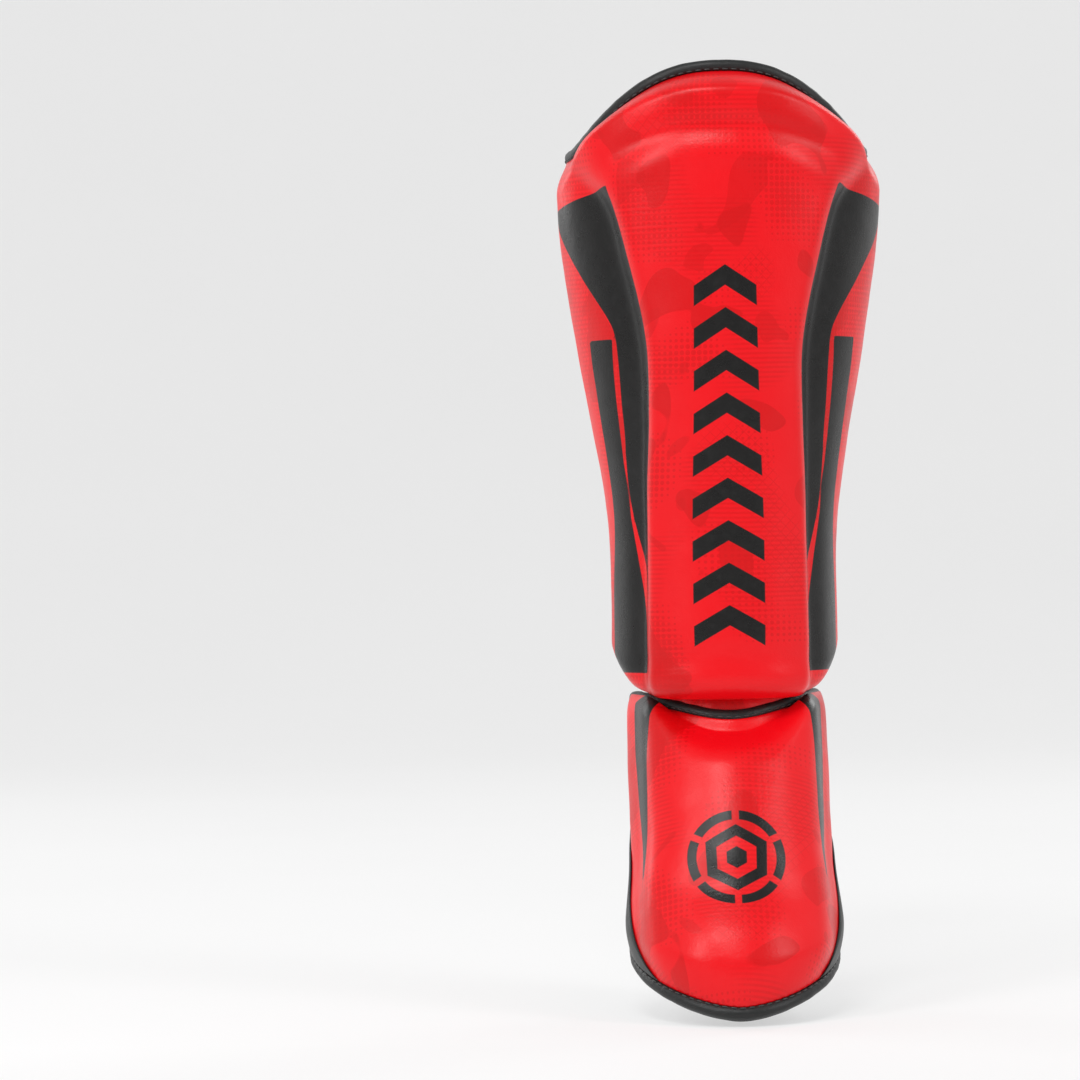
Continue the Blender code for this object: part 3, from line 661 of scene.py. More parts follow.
class Paint:
    """A material in the making."""

    def __init__(self, name, **plain):
        self.material = bpy.data.materials.new(name)
        self.material.use_nodes = True
        self.tree = self.material.node_tree
        self.skin = self.tree.nodes["Principled BSDF"]
        for key, value in plain.items():
            self.skin.inputs[key.replace("_", " ")].default_value = value

    def put(self, socket, item):
        if isinstance(item, Field):
            self.tree.links.new(item.socket, socket)
        elif item is not None:
            socket.default_value = item

    def node(self, kind, settings=None, inputs=None, output=0):
        """A node with its settings, then its sockets' values or links, as a Field on one output."""
        made = self.tree.nodes.new("ShaderNode" + kind)
        for key, value in (settings or {}).items():
            setattr(made, key, value)
        for key, item in (inputs or {}).items():
            self.put(made.inputs[key], item)
        return Field(self, made.outputs[output])

    def sum(self, operation, *items):
        return self.node("Math", {"operation": operation}, dict(enumerate(items)))

    def split(self, vector):
        first = self.node("SeparateXYZ", None, {0: vector})
        return [Field(self, socket) for socket in first.socket.node.outputs]

    def wrap(self):
        """The piece's own flat layout in metres: the vector, x and y."""
        uv = self.node("UVMap", {"uv_map": "wrap"})
        x, y, _ = self.split(uv)
        return uv, x, y

    def mix(self, factor, below, above):
        """One colour laid over another."""
        below, above = (c if isinstance(c, Field) else (*c, 1.0) for c in (below, above))
        return self.node("Mix", {"data_type": "RGBA"}, {0: factor, 6: below, 7: above}, output=2)

    def clamp(self, item):
        return self.node("Clamp", None, {"Value": item})

    def inside(self, distance, soft):
        """1 where a distance is above 0, with an edge this soft."""
        return self.clamp(distance / soft + 0.5)

    def noise(self, vector, scale, detail=2.0, roughness=0.5, distortion=0.0):
        sockets = {"Vector": vector, "Scale": scale, "Detail": detail,
                   "Roughness": roughness, "Distortion": distortion}
        return self.node("TexNoise", {"noise_dimensions": "3D"}, sockets)

    def cells(self, vector, scale):
        return self.node("TexVoronoi", {"feature": "F1"}, {"Vector": vector, "Scale": scale})

    def bump(self, height, distance, strength=1.0):
        sockets = {"Height": height, "Distance": distance, "Strength": strength}
        self.put(self.skin.inputs["Normal"], self.node("Bump", None, sockets))

    def colour(self, item):
        self.put(self.skin.inputs["Base Color"], item)

    def tint(self, tone, lighter, amount):
        """The tone, and a lighter shade of it where the amount goes up to 1."""
        self.colour(self.mix(self.clamp(amount), tone, tuple(lighter * c for c in tone)))

    def rough(self, item):
        self.put(self.skin.inputs["Roughness"], item)


def fraction(paint, item):
    """The distance from the middle of the repeat that a coordinate is in, from -0.5 to 0.5."""
    return paint.sum("FRACT", item) - 0.5


def hexagon(paint, x, y, size):
    """How far inside an upright hexagon of this half-width a point is."""
    x, y = abs(x), abs(y)
    slanted = x * 0.5 + y * 0.866
    return size - paint.sum("MAXIMUM", x, slanted)


def badge(paint, x, y, radius, bar):
    """How far inside a plain badge a point is: a broken ring round a hexagon ring."""
    reach = (x * x + y * y) ** 0.5
    ring = bar * 0.5 - abs(reach - (radius - bar * 0.5))
    spokes = paint.sum("MINIMUM", abs(x * 0.5 + y * 0.866), abs(x * 0.5 - y * 0.866))
    spokes = paint.sum("MINIMUM", spokes, abs(x))
    ring = paint.sum("MINIMUM", ring, spokes - bar * 0.35)
    hole = bar * 0.55 - abs(hexagon(paint, x, y, radius * 0.50))
    dot = hexagon(paint, x, y, radius * 0.20)
    return paint.sum("MAXIMUM", paint.sum("MAXIMUM", ring, hole), dot)


def printed_skin(name, tones, marks):
    """Red synthetic leather with a tonal print, and black marks over it."""
    paint = Paint(name, Specular_IOR_Level=0.30)
    uv, x, y = paint.wrap()
    bright, deep, pale = (tuple(tone) for tone in tones)

    cloud = paint.noise(uv, 21.0, 1.6, 0.45, 0.35)
    shape = paint.noise(uv, 33.0, 1.0, 0.4, 0.5)
    patch = paint.inside(cloud - 0.565, 0.006)
    blot = paint.inside(shape - 0.63, 0.006)
    colour = paint.mix(paint.clamp(cloud * 0.7), bright, tuple(0.93 * c for c in bright))
    colour = paint.mix(patch * 0.72, colour, deep)
    colour = paint.mix(blot * 0.50, colour, deep)

    wave = paint.noise(uv, 12.0, 1.0) * 0.004
    lines = paint.inside(abs(fraction(paint, (y + wave) * 455.0)) - 0.27, 0.16)
    line_area = paint.inside(paint.noise(uv, 17.0, 1.0, 0.4) - 0.50, 0.05)
    colour = paint.mix(lines * line_area * 0.42, colour, deep)

    dot_x, dot_y = fraction(paint, x * 345.0), fraction(paint, y * 345.0)
    dot = (dot_x * dot_x + dot_y * dot_y) ** 0.5
    dot_area = paint.noise(uv, 24.0, 0.0, 0.4, 0.2)
    dots = paint.inside((dot_area - 0.49) * 1.5 - dot + 0.12, 0.10)
    dots = dots * paint.inside(dot_area - 0.51, 0.02)
    colour = paint.mix(dots * 0.62, colour, deep)

    slant, back = abs(fraction(paint, (x + y) * 190.0)), abs(fraction(paint, (x - y) * 190.0))
    net = paint.inside(0.045 - paint.sum("MINIMUM", slant, back), 0.04)
    net_area = paint.inside(paint.noise(uv, 14.0, 0.0) - 0.585, 0.03)
    colour = paint.mix(net * net_area * 0.55, colour, deep)

    scuff = paint.noise(uv, 160.0, 4.0, 0.7)
    colour = paint.mix(paint.clamp((scuff - 0.62) * 0.9), colour, pale)

    ink = paint.inside(marks(paint, x, y), 0.00035)
    worn = paint.clamp((scuff - 0.50) * 1.6)
    worn = paint.mix(worn, (0.0085, 0.0080, 0.0078), (0.021, 0.020, 0.020))
    colour = paint.mix(ink, colour, worn)
    paint.colour(colour)

    grain = paint.cells(uv, 1350.0)
    creases = paint.noise(uv, 420.0, 5.0, 0.62)
    broad = paint.noise(uv, 55.0, 2.0)
    paint.rough(0.325 - ink * 0.035 + (scuff - 0.5) * 0.16 + (broad - 0.5) * 0.10)
    height = grain * 0.30 + creases * 0.55 + broad * 2.2 + ink * 0.10
    paint.bump(height - dots * 0.06 - lines * line_area * 0.05, 0.00016, 0.75)
    return paint.material


def shin_marks(paint, x, y):
    """Stripes on the shin, from the points' own distances, and a column of chevrons."""
    stripe = paint.node("Attribute", {"attribute_name": "stripe"}, output=2)
    lean = y + abs(x) * CHEVRON_LEAN
    low, high = CHEVRON_ENDS
    row = fraction(paint, (lean - low - MM) / CHEVRON_PITCH)
    column = paint.sum("MINIMUM", CHEVRON_BAR - abs(row * CHEVRON_PITCH), CHEVRON_HALF - abs(x))
    column = paint.sum("MINIMUM", column, paint.sum("MINIMUM", lean - low, high - lean))
    return paint.sum("MAXIMUM", stripe, column)


def instep_marks(paint, x, y):
    """Stripes on the instep and a round badge."""
    stripe = paint.node("Attribute", {"attribute_name": "stripe"}, output=2)
    emblem = badge(paint, x, y - INSTEP_BADGE_Y, INSTEP_BADGE_RADIUS, 0.0046)
    return paint.sum("MAXIMUM", stripe, emblem)


def black_skin(name, tone, shine=0.42, grain_size=1150.0):
    """Smooth black synthetic leather."""
    paint = Paint(name, Specular_IOR_Level=0.38)
    uv, _, _ = paint.wrap()
    scuff = paint.noise(uv, 180.0, 4.0, 0.68)
    broad = paint.noise(uv, 42.0, 2.0)
    paint.tint(tone, 1.75, (scuff - 0.42) * 1.5)
    paint.rough(shine + (scuff - 0.5) * 0.20 + (broad - 0.5) * 0.12)
    creases = paint.noise(uv, 520.0, 4.0, 0.6)
    paint.bump(paint.cells(uv, grain_size) * 0.45 + creases * 0.8 + broad * 1.8, 0.00013, 0.8)
    return paint.material


def knit(name, tone):
    """Brushed knit lining: fine wales with a soft nap."""
    paint = Paint(name, Specular_IOR_Level=0.25, Sheen_Weight=0.25, Sheen_Roughness=0.5)
    uv, x, y = paint.wrap()
    wale = abs(fraction(paint, x * 720.0))
    course = abs(fraction(paint, y * 900.0 + wale * 0.8))
    loops = wale * 0.9 + course * 0.8
    fuzz, cloud = paint.noise(uv, 1500.0, 3.0, 0.7), paint.noise(uv, 60.0, 3.0)
    paint.tint(tone, 1.9, loops * 0.55 + (fuzz - 0.5) * 0.8 + (cloud - 0.5) * 0.8)
    paint.rough(0.86 + (fuzz - 0.5) * 0.2)
    paint.bump(loops + fuzz * 0.8, 0.00022, 0.7)
    return paint.material


def elastic(name, tone, press=None):
    """Woven elastic: ribs crossed by rubber cores, and a shape pressed in if one is given."""
    paint = Paint(name, Specular_IOR_Level=0.35, Sheen_Weight=0.12, Sheen_Roughness=0.4)
    uv, x, y = paint.wrap()
    ribs = y * 640.0
    rib = abs(fraction(paint, ribs))
    weft = abs(fraction(paint, x * 1000.0 + paint.sum("FLOOR", ribs) * 0.5))
    weave = (0.5 - rib) * 1.2 + (0.5 - weft) * 0.7
    fuzz, cloud = paint.noise(uv, 1300.0, 3.0, 0.7), paint.noise(uv, 40.0, 2.0)
    paint.tint(tone, 2.0, weave * 0.6 + (fuzz - 0.5) * 0.5 + (cloud - 0.5) * 0.5)
    paint.rough(0.66 + (fuzz - 0.5) * 0.2)
    height = weave + fuzz * 0.4 + cloud * 2.0
    if press is not None:
        height = height - paint.inside(press(paint, x, y), 0.0012) * 5.0
    paint.bump(height, 0.00020, 0.8)
    return paint.material


def pile(name, tone):
    """Fuzzy loop tape."""
    paint = Paint(name, Specular_IOR_Level=0.2, Sheen_Weight=0.35, Sheen_Roughness=0.6)
    uv, _, _ = paint.wrap()
    fuzz, tufts = paint.noise(uv, 950.0, 5.0, 0.8, 0.8), paint.cells(uv, 620.0)
    paint.tint(tone, 2.6, (fuzz - 0.42) * 2.2)
    paint.rough(0.93 + (fuzz - 0.5) * 0.1)
    paint.bump(fuzz * 1.4 + tufts * 0.8, 0.00050, 1.0)
    return paint.material


def thread(name, tone):
    """Twisted polyester thread."""
    paint = Paint(name, Specular_IOR_Level=0.5)
    fuzz = paint.noise(paint.node("TexCoord", output=3), 2600.0, 2.0)
    paint.tint(tone, 2.0, fuzz)
    paint.rough(0.48 + (fuzz - 0.5) * 0.2)
    paint.bump(fuzz, 0.0001, 0.6)
    return paint.material


PAINTS = {}


def paint_of(name):
    """The named material, made once from the chosen colours."""
    if name in PAINTS:
        return PAINTS[name]
    looks = settings()
    tones = (looks.red, looks.deep_red, looks.pale_red)
    black, cloth = tuple(looks.black), tuple(looks.cloth)
    makers = {
        "shin_print": lambda: printed_skin(name, tones, shin_marks),
        "instep_print": lambda: printed_skin(name, tones, instep_marks),
        "binding_tape": lambda: black_skin(name, black, 0.44, 1500.0),
        "strap_skin": lambda: black_skin(name, tuple(1.15 * c for c in black), 0.40),
        "toe_skin": lambda: black_skin(name, tuple(1.25 * c for c in black), 0.40),
        "lining_knit": lambda: knit(name, cloth),
        "strap_elastic": lambda: elastic(name, tuple(1.5 * c for c in cloth), strap_badge),
        "foot_elastic": lambda: elastic(name, cloth),
        "loop_pile": lambda: pile(name, cloth),
        "thread": lambda: thread(name, tuple(2.0 * c for c in black)),
        "gusset_skin": lambda: printed_skin(name, tones, no_marks),
    }
    PAINTS[name] = makers[name]()
    return PAINTS[name]


def no_marks(paint, x, y):
    """Nothing printed: every point is outside."""
    return x * 0.0 - 1.0


def strap_badge(paint, x, y):
    """Plain rings and a hexagon pressed into the upper strap."""
    x, y = x - BADGE_X, y - sum(UPPER_SPAN) / 2
    reach = (x * x + y * y) ** 0.5
    ring = 0.0010 - abs(reach - 0.0225)
    inner = 0.0008 - abs(reach - 0.0195)
    six = 0.0014 - abs(hexagon(paint, x, y, 0.0118))
    dot = hexagon(paint, x, y, 0.0050)
    rings = paint.sum("MAXIMUM", ring, inner)
    return paint.sum("MAXIMUM", rings, paint.sum("MAXIMUM", six, dot))


# ---- Pieces ---------------------------------------------------------------------------------

def show(piece, body, slot, *replaced):
    """Rides a piece on its body and stands it in for the frame's nodes."""
    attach(piece, body)
    if replaced:
        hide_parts(*replaced)
    return piece


def area_of(piece):
    """The area of a thin closed sheet, from one side."""
    return sum(face.area for face in piece.data.polygons) / 2


def wrap_uv(channel, crown, angle, along):
    """Distances round a pad's face from its middle, and along it."""
    half = through(along, channel[:, 0], channel[:, 1])
    depth = through(along, channel[:, 0], channel[:, 2])
    return np.stack([np.radians(angle) * (half + crown * half / depth), along], axis=-1)


def shin_uv(angle, z):
    return wrap_uv(LEG, SHIN_FACE, angle, z)


def stripe_distance(angle, along, table, radius, cut=None):
    """How far inside a stripe each point is, in metres. table is (places, inner, outer) angles."""
    side = np.abs(angle)
    inner, outer = through(along, table[0], table[1]), through(along, table[0], table[2])
    across = np.radians(np.minimum(side - inner, outer - side)) * radius
    top = (table[0][-1] if cut is None else cut) - along
    return np.minimum(across, np.minimum(top, along - table[0][0]))


def shin_stripes(angle, z):
    """How far inside either stripe each point of the shin's face is."""
    radius = 0.060
    slant = 0.2440 - (np.abs(angle) - 41.0) * 0.00024
    inner = stripe_distance(angle, z, INNER_STRIPE, 0.066, slant)
    outer = stripe_distance(angle, z, OUTER_STRIPE, radius)
    edge = through(z, OUTER_STRIPE[0], OUTER_STRIPE[2]) - np.abs(angle)
    from_side = STRIPE_CORNER - np.radians(edge) * radius
    from_foot = STRIPE_CORNER - (z - OUTER_STRIPE[0][0])
    arc = STRIPE_CORNER - np.hypot(from_side, from_foot)
    outer = np.where(np.minimum(from_side, from_foot) > 0, np.minimum(outer, arc), outer)
    return np.maximum(inner, outer)


def make_shin_pad():
    """The printed cover over the moulded foam, and the knit lining inside."""
    angle, z = shin_outline(*pad_grid(168, 168))
    thick = shin_thick(angle, z)
    outer = shin_wrap(angle, z, thick)
    soft = ripple(outer, 0.030, 3.0) * 0.35 * MM + ripple(outer, 0.012, 9.0) * 0.10 * MM
    soft = soft * smooth((thick - EDGE - 1.0 * MM) / (4.0 * MM))
    outer = shin_wrap(angle, z, thick + soft)
    inner = shin_wrap(angle, z, LINING + GAP)
    z = z - shin_hang(angle, z)
    outer[..., 2] = z
    cover = slab("shin_cover_skin", inner, outer, shin_uv(angle, z), [paint_of("shin_print")],
                 attributes={"stripe": shin_stripes(angle, z)})
    show(cover, "shin", "red_skin", "shin_cover", "shin_foam")

    u, v = grid(100, 90)
    angle, z = shin_outline(u, v)
    face = shin_wrap(angle, z, 0.0)
    inside = smooth(np.minimum(1.0 - np.abs(u), 2.0 * np.minimum(v, 1.0 - v)) / 0.10)
    creases = ripple(face * np.array([1.0, 1.0, 0.55]), 0.017, 5.0) * inside
    inner = shin_wrap(angle, z, np.minimum(creases * settings().lining_slack, 0.9 * MM))
    lining = slab("shin_lining_knit", inner, shin_wrap(angle, z, LINING), shin_uv(angle, z),
                  [paint_of("lining_knit")])
    show(lining, "shin", "black_knit", "shin_lining")
    area_of(lining)


def shin_edge():
    u, v = round_the_border(400, 400)
    keep = lambda angle, z: (np.abs(angle) > OPEN_BOTTOM) | (z > EAR_TOP / 2)
    return pad_edge(shin_outline, shin_wrap, EDGE, u, v, keep, closed=False)


def instep_edge():
    u, v = round_the_border(240, 240)
    return pad_edge(instep_outline, instep_wrap, INSTEP_EDGE, u[::-1], v[::-1])


def make_bindings():
    """Tape round the shin pad and the instep pad, with its stitching."""
    looks = settings()
    for body, edge, seed in (("shin", shin_edge(), 2.0), ("instep", instep_edge(), 7.0)):
        tape = bind(f"{body}_binding_tape", edge, seed, looks.tape_width, looks.tape_depth)
        show(tape, body, "black_skin", f"{body}_edge_binding")
        show(stitches(f"{body}_binding_stitches", tape_stitches(edge)), body, "thread")


def patch_height(span, inset, v):
    low, high = span
    return low + inset + (high - low - 2 * inset) * v


def make_patches():
    """Loop patches on the ears and hook patches under the strap tips."""
    pile_paint = [paint_of("loop_pile")]
    for label, span in (("upper", UPPER_SPAN), ("lower", LOWER_SPAN)):
        u, v = grid(64, 44)
        angle, z = 104.0 + 24.0 * (u + 1.0), patch_height(span, 4.0 * MM, v)
        rim = np.minimum(1.0 - np.abs(u), 2.0 * np.minimum(v, 1.0 - v)) / 0.06
        level = EDGE + 0.6 * MM
        base = shin_wrap(angle, z, level)
        tuft = ripple(base, 0.0022, 4.0) * 0.18 * MM
        top = level + (1.4 * MM + tuft) * round_off(rim) * 0.9 + 0.1 * MM
        loop = slab(f"{label}_loop_pile", base, shin_wrap(angle, z, top), shin_uv(angle, z),
                    pile_paint)
        show(loop, "shin", "black_pile", f"{label}_loop_patch")

        u, v = grid(36, 28)
        angle, z = -222.0 - 11.0 * u, patch_height(span, 8.8 * MM, v)
        level = EDGE + 2.6 * MM
        tuft = ripple(shin_wrap(angle, z, level), 0.0018, 6.0) * 0.12 * MM
        hook = slab(f"{label}_hook_pile", shin_wrap(angle, z, level + tuft),
                    shin_wrap(angle, z, level + 1.2 * MM), shin_uv(angle, z), pile_paint)
        show(hook, f"{label}_strap", "black_pile", f"{label}_strap_hook")


def strap_height(angle, span):
    """(middle, half-height) of a strap at these angles, rounded at its tip."""
    low, high = span
    reach = 1.0 - np.clip((angle - TIP_ANGLE) / TIP_ROUND, 0.0, 1.0)
    half = (high - low) / 2 * (1.0 - 0.55 * (1.0 - np.sqrt(1.0 - reach ** 2.6)))
    return (low + high) / 2, half


def strap_grid(start, end, span, across, along):
    u, v = grid(across, along)
    angle = start + (end - start) * (u + 1.0) / 2
    middle, half = strap_height(angle, span)
    return angle, middle + half * (2.0 * v - 1.0), v


def crowned(v, level):
    """A strap's face at this level, puffed a little between its two edges."""
    return level + settings().strap_crown * (1.0 - (2.0 * v - 1.0) ** 4)


def strap_panel(name, start, end, span, inner, outer, paint, crease=0.0):
    """Part of a strap between two angles."""
    across = int(abs(end - start) * 1.1) + 6
    angle, z, v = strap_grid(start, end, span, across, 40)
    face = shin_wrap(angle, z, outer)
    soft = ripple(face * np.array([1.0, 1.0, 0.6]), 0.020, 11.0) * crease
    uv = np.stack([np.radians(angle) * STRAP_RADIUS, z], axis=-1)
    top = shin_wrap(angle, z, crowned(v, outer) + soft)
    return slab(name, shin_wrap(angle, z, inner), top, uv, [paint])


def strap_bend(piece, span):
    """Bakes a piece's transform into its mesh; the two points it works out beside the strap's root
    are not used.
    """
    middle = sum(span) / 2
    start, end = (
        shin_wrap(np.array(HINGE_ANGLE + turn), middle, STRAP_OUTER) for turn in (2.2, -2.2)
    )
    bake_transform(piece)


def strap_edge(span):
    """The strap's border: up one side, round the tip and back."""
    turn = np.linspace(ROOT_ANGLE, TIP_ANGLE, 160)
    middle, half = strap_height(turn, span)
    tip_middle, tip_half = strap_height(np.array(TIP_ANGLE), span)
    rise = np.linspace(-1, 1, 40)[1:-1]
    angle = np.concatenate([turn, np.full(len(rise), TIP_ANGLE), turn[::-1]])
    z = np.concatenate([middle - half, tip_middle + tip_half * rise, (middle + half)[::-1]])
    level = (STRAP_INNER + STRAP_OUTER) / 2 + 0.2 * MM
    points = shin_wrap(angle, z, level)
    normals = shin_wrap(angle, z, level + MM) - points
    normals /= np.linalg.norm(normals, axis=1, keepdims=True)
    return Edge(points, normals, False, side=-1.0)


def make_strap(label, span, has_elastic):
    """One calf strap: root, panel, tip, backing, binding and stitching."""
    body = f"{label}_strap"
    skin = paint_of("strap_skin")
    inner, root_inner = STRAP_INNER + 1.6 * MM, EDGE + 0.5 * MM
    backing = strap_panel(f"{label}_backing_knit", HINGE_ANGLE - 0.8, TIP_ANGLE + 0.5, span,
                          STRAP_INNER, STRAP_INNER + 0.5 * MM, paint_of("lining_knit"))
    show(backing, body, "black_knit", f"{body}_backing")
    if has_elastic:
        panel = strap_panel(f"{label}_elastic_panel", HINGE_ANGLE + 3.0, SEAM_ANGLE - 1.5, span,
                            inner, STRAP_OUTER - 0.5 * MM, paint_of("strap_elastic"), 0.9 * MM)
        tip = strap_panel(f"{label}_tip_panel", SEAM_ANGLE, TIP_ANGLE, span,
                          inner, STRAP_OUTER, skin, 0.25 * MM)
        show(tip, body, "black_skin", f"{body}_tip")
        root = strap_panel(f"{label}_root_panel", ROOT_ANGLE, HINGE_ANGLE + 0.4, span,
                           root_inner, STRAP_OUTER, skin, 0.2 * MM)
        panel_slot, seams = "black_elastic", (SEAM_ANGLE - 2.0, HINGE_ANGLE + 2.4)
    else:
        panel = strap_panel(f"{label}_skin_panel", HINGE_ANGLE + 3.0, TIP_ANGLE, span,
                            inner, STRAP_OUTER, skin, 1.3 * MM)
        root = strap_panel(f"{label}_root_panel", ROOT_ANGLE, HINGE_ANGLE + 2.0, span,
                           root_inner, STRAP_OUTER + 0.2 * MM, skin, 0.2 * MM)
        panel_slot, seams = "black_skin", (HINGE_ANGLE + 4.0,)
    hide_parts(f"{body}_panel")
    strap_bend(panel, span)
    show(root, "shin", "black_skin", f"{body}_anchor")

    edge = strap_edge(span)
    looks = settings()
    tape = bind(f"{label}_strap_tape", edge, 13.0, looks.strap_tape_width, looks.strap_tape_depth)
    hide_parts(f"{body}_binding")
    strap_bend(tape, span)

    rows = tape_stitches(edge, 0.6 * MM, 2.75 * MM, both=False)
    for angle in seams:
        middle, half = strap_height(np.array(angle), span)
        z = middle + half * np.linspace(-0.93, 0.93, 30)
        level = crowned((z - middle + half) / (2 * half), STRAP_OUTER)
        turn = np.full(30, angle)
        path = shin_wrap(turn, z, level)
        rows.append((path, shin_wrap(turn, z, level + MM) - path))
    strap_bend(stitches(f"{label}_strap_stitches", rows), span)


def instep_uv(angle, s):
    return wrap_uv(FOOT, INSTEP_FACE, angle, s)


def make_instep():
    """Printed cover and knit lining of the instep pad."""
    angle, s = instep_outline(*pad_grid(116, 116))
    thick = instep_thick(angle, s)
    outer = instep_wrap(angle, s, thick)
    soft = ripple(outer, 0.026, 21.0) * 0.45 * MM + ripple(outer, 0.011, 25.0) * 0.14 * MM
    soft = soft * smooth((thick - INSTEP_EDGE - 0.8 * MM) / (3.0 * MM))
    outer = instep_wrap(angle, s, thick + soft)
    inner = instep_wrap(angle, s, LINING + GAP)
    shift = instep_shoulder(angle, s)
    outer[..., 2] += shift
    s = s - shift
    cover = slab("instep_cover_skin", inner, outer, instep_uv(angle, s), [paint_of("instep_print")],
                 attributes={"stripe": stripe_distance(angle, s, INSTEP_STRIPE, 0.050)})
    show(cover, "instep", "red_skin", "instep_cover", "instep_foam")

    angle, s = instep_outline(*grid(56, 64))
    lining = slab("instep_lining_knit", instep_wrap(angle, s, 0.0), instep_wrap(angle, s, LINING),
                  instep_uv(angle, s), [paint_of("lining_knit")])
    show(lining, "instep", "black_knit", "instep_lining")
    area_of(lining)


def instep_uv_of(angle, s):
    """Where on the instep's outline grid a point is: (u, v)."""
    top = instep_top(angle)
    v = (s - top) / (instep_toe(angle) - top)
    side_top = instep_top(INSTEP_ANGLE)
    return angle / instep_side(side_top + (TOE_SIDE - side_top) * v), v


def make_toe_panels():
    """Black panels sewn on along the toe's two sides."""
    places, angles = (np.array(row, float) for row in TOE_PANEL_EDGE)
    inner_u, inner_v = instep_uv_of(angles, places)
    run, corner = np.linspace(0, 1, 81), 0.62
    before = run < corner
    past = (run - corner) / (1 - corner)
    border_u = np.where(before, 1.0, 1.0 + (inner_u[-1] - 1.0) * past)
    border_v = np.where(before, inner_v[0] + (1.0 - inner_v[0]) * run / corner, 1.0)
    share = np.linspace(0, 1, len(places))
    near_u, near_v = through(run, share, inner_u), through(run, share, inner_v)
    across = np.linspace(0, 1, 25)[:, None]
    angle, s = instep_outline(near_u + (border_u - near_u) * across,
                              near_v + (border_v - near_v) * across)
    thick = instep_thick(angle, s)
    rim = smooth(np.minimum(across, np.minimum(run, 1 - run) * 4) / 0.10)
    top = thick + 0.5 * MM + 0.7 * MM * np.sqrt(rim)
    for side, name in ((-1.0, "left"), (1.0, "right")):
        turned = side * angle
        panel = slab(f"toe_panel_skin_{name}", instep_wrap(turned, s, thick + 0.35 * MM),
                     instep_wrap(turned, s, top), instep_uv(turned, s), [paint_of("toe_skin")])
        show(panel, "instep", "black_skin", f"toe_side_panel_{name}")


def make_ankle():
    """The thin gusset between the two pads, and the bar tack that joins their linings."""
    u, v = grid(84, 28)
    angle = u * GUSSET_ANGLE
    top = shin_wrap(angle, shin_low(angle) + 5.0 * MM, 2.9 * MM)
    bottom = instep_wrap(angle, instep_top(angle) - 0.4 * MM, INSTEP_EDGE / 2)
    face = top + (bottom - top) * v[..., None]
    out = shin_wrap(angle, 0.0, MM) - shin_wrap(angle, 0.0, 0.0)
    out /= np.linalg.norm(out, axis=-1, keepdims=True)
    folds = ripple(np.stack([angle / 6.0, v * 0.6, angle * 0 + 2.0], axis=-1), 1.0) * 0.8 * MM
    belly = (1.2 * MM + folds) * np.sin(math.pi * v)
    uv = np.stack([np.radians(angle) * GUSSET_WIDTH / 2, v * 0.014 + 0.5], axis=-1)
    gusset = slab("ankle_gusset_skin", face + out * (belly - 0.5 * MM)[..., None],
                  face + out * (belly + 0.5 * MM)[..., None], uv,
                  [paint_of("gusset_skin"), paint_of("lining_knit")], inner_paint=1)
    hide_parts("ankle_gusset")
    area = area_of(gusset)
    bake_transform(gusset)
    area / GUSSET_WIDTH

    turns = np.arange(-14.0, 14.01, 1.4)
    corners = np.arange(len(turns))
    heights = 4.5 * MM + 4.2 * MM * np.where(corners % 2, 1.0, -1.0)
    along = np.arange(6 * (len(turns) - 1)) / 6
    turn, z = np.interp(along, corners, turns), np.interp(along, corners, heights)
    path = shin_wrap(turn, z, -0.9 * MM)
    rows = [(path, shin_wrap(turn, z, -1.9 * MM) - path)]
    tack = stitches("ankle_tack_thread", rows, (2.4 * MM, 2.6 * MM, 0.6 * MM))
    show(tack, "shin", "thread", "ankle_bar_tack")


def make_foot_strap():
    """The wide elastic band under the arch of the foot, sewn inside the pad's two walls."""
    u, v = grid(72, 30)
    s = FOOT_STRAP_START + FOOT_STRAP_WIDTH * v
    half = through(s, FOOT[:, 0], FOOT[:, 1]) - 0.7 * MM
    sag = FOOT_STRAP_SAG * (1.0 - u ** 2) + 0.7 * MM * np.sin(u * 9.0) * np.abs(u) ** 3
    n = -FOOT_STRAP_DEPTH - sag
    hem = 0.35 * MM * bell(0.5 - np.abs(v - 0.5), 0.0, 0.03)
    inner = instep_place(u * half, s, n + 0.9 * MM)
    outer = instep_place(u * half, s, n - 0.9 * MM - hem)
    uv = np.stack([u * half, s], axis=-1)
    strap = slab("foot_strap_elastic", inner, outer, uv, [paint_of("foot_elastic")])
    show(strap, "instep", "black_elastic", "foot_strap")
    area = area_of(strap)
    area / FOOT_STRAP_WIDTH
    rows = []
    for x in (-0.0350, -0.0330, 0.0330, 0.0350):
        across, line = np.full(24, x), np.linspace(0.0060, 0.0460, 24)
        share = abs(x) / 0.0395
        level = np.full(24, -FOOT_STRAP_DEPTH - FOOT_STRAP_SAG * (1.0 - share ** 2) - MM)
        path = instep_place(across, line, level)
        rows.append((path, instep_place(across, line, level - MM) - path))
    show(stitches("foot_strap_stitches", rows), "instep", "thread")


# ---- Stage ----------------------------------------------------------------------------------

# (name, place, height that it faces, width, height, share of the key light's power)
SOFTBOXES = (
    ("key", (-1.25, -1.25, 0.95), 0.10, 0.50, 1.15, 1.0),
    ("fill", (1.45, -1.05, 0.90), 0.08, 0.45, 1.15, 0.75),
    ("top", (-0.35, -1.25, 1.45), 0.18, 0.6, 0.45, 0.8),
    ("rim", (-1.5, 1.2, 0.9), 0.10, 0.6, 1.4, 0.6),
    ("back", (1.3, 1.5, 1.1), 0.10, 0.6, 1.2, 0.6),
)


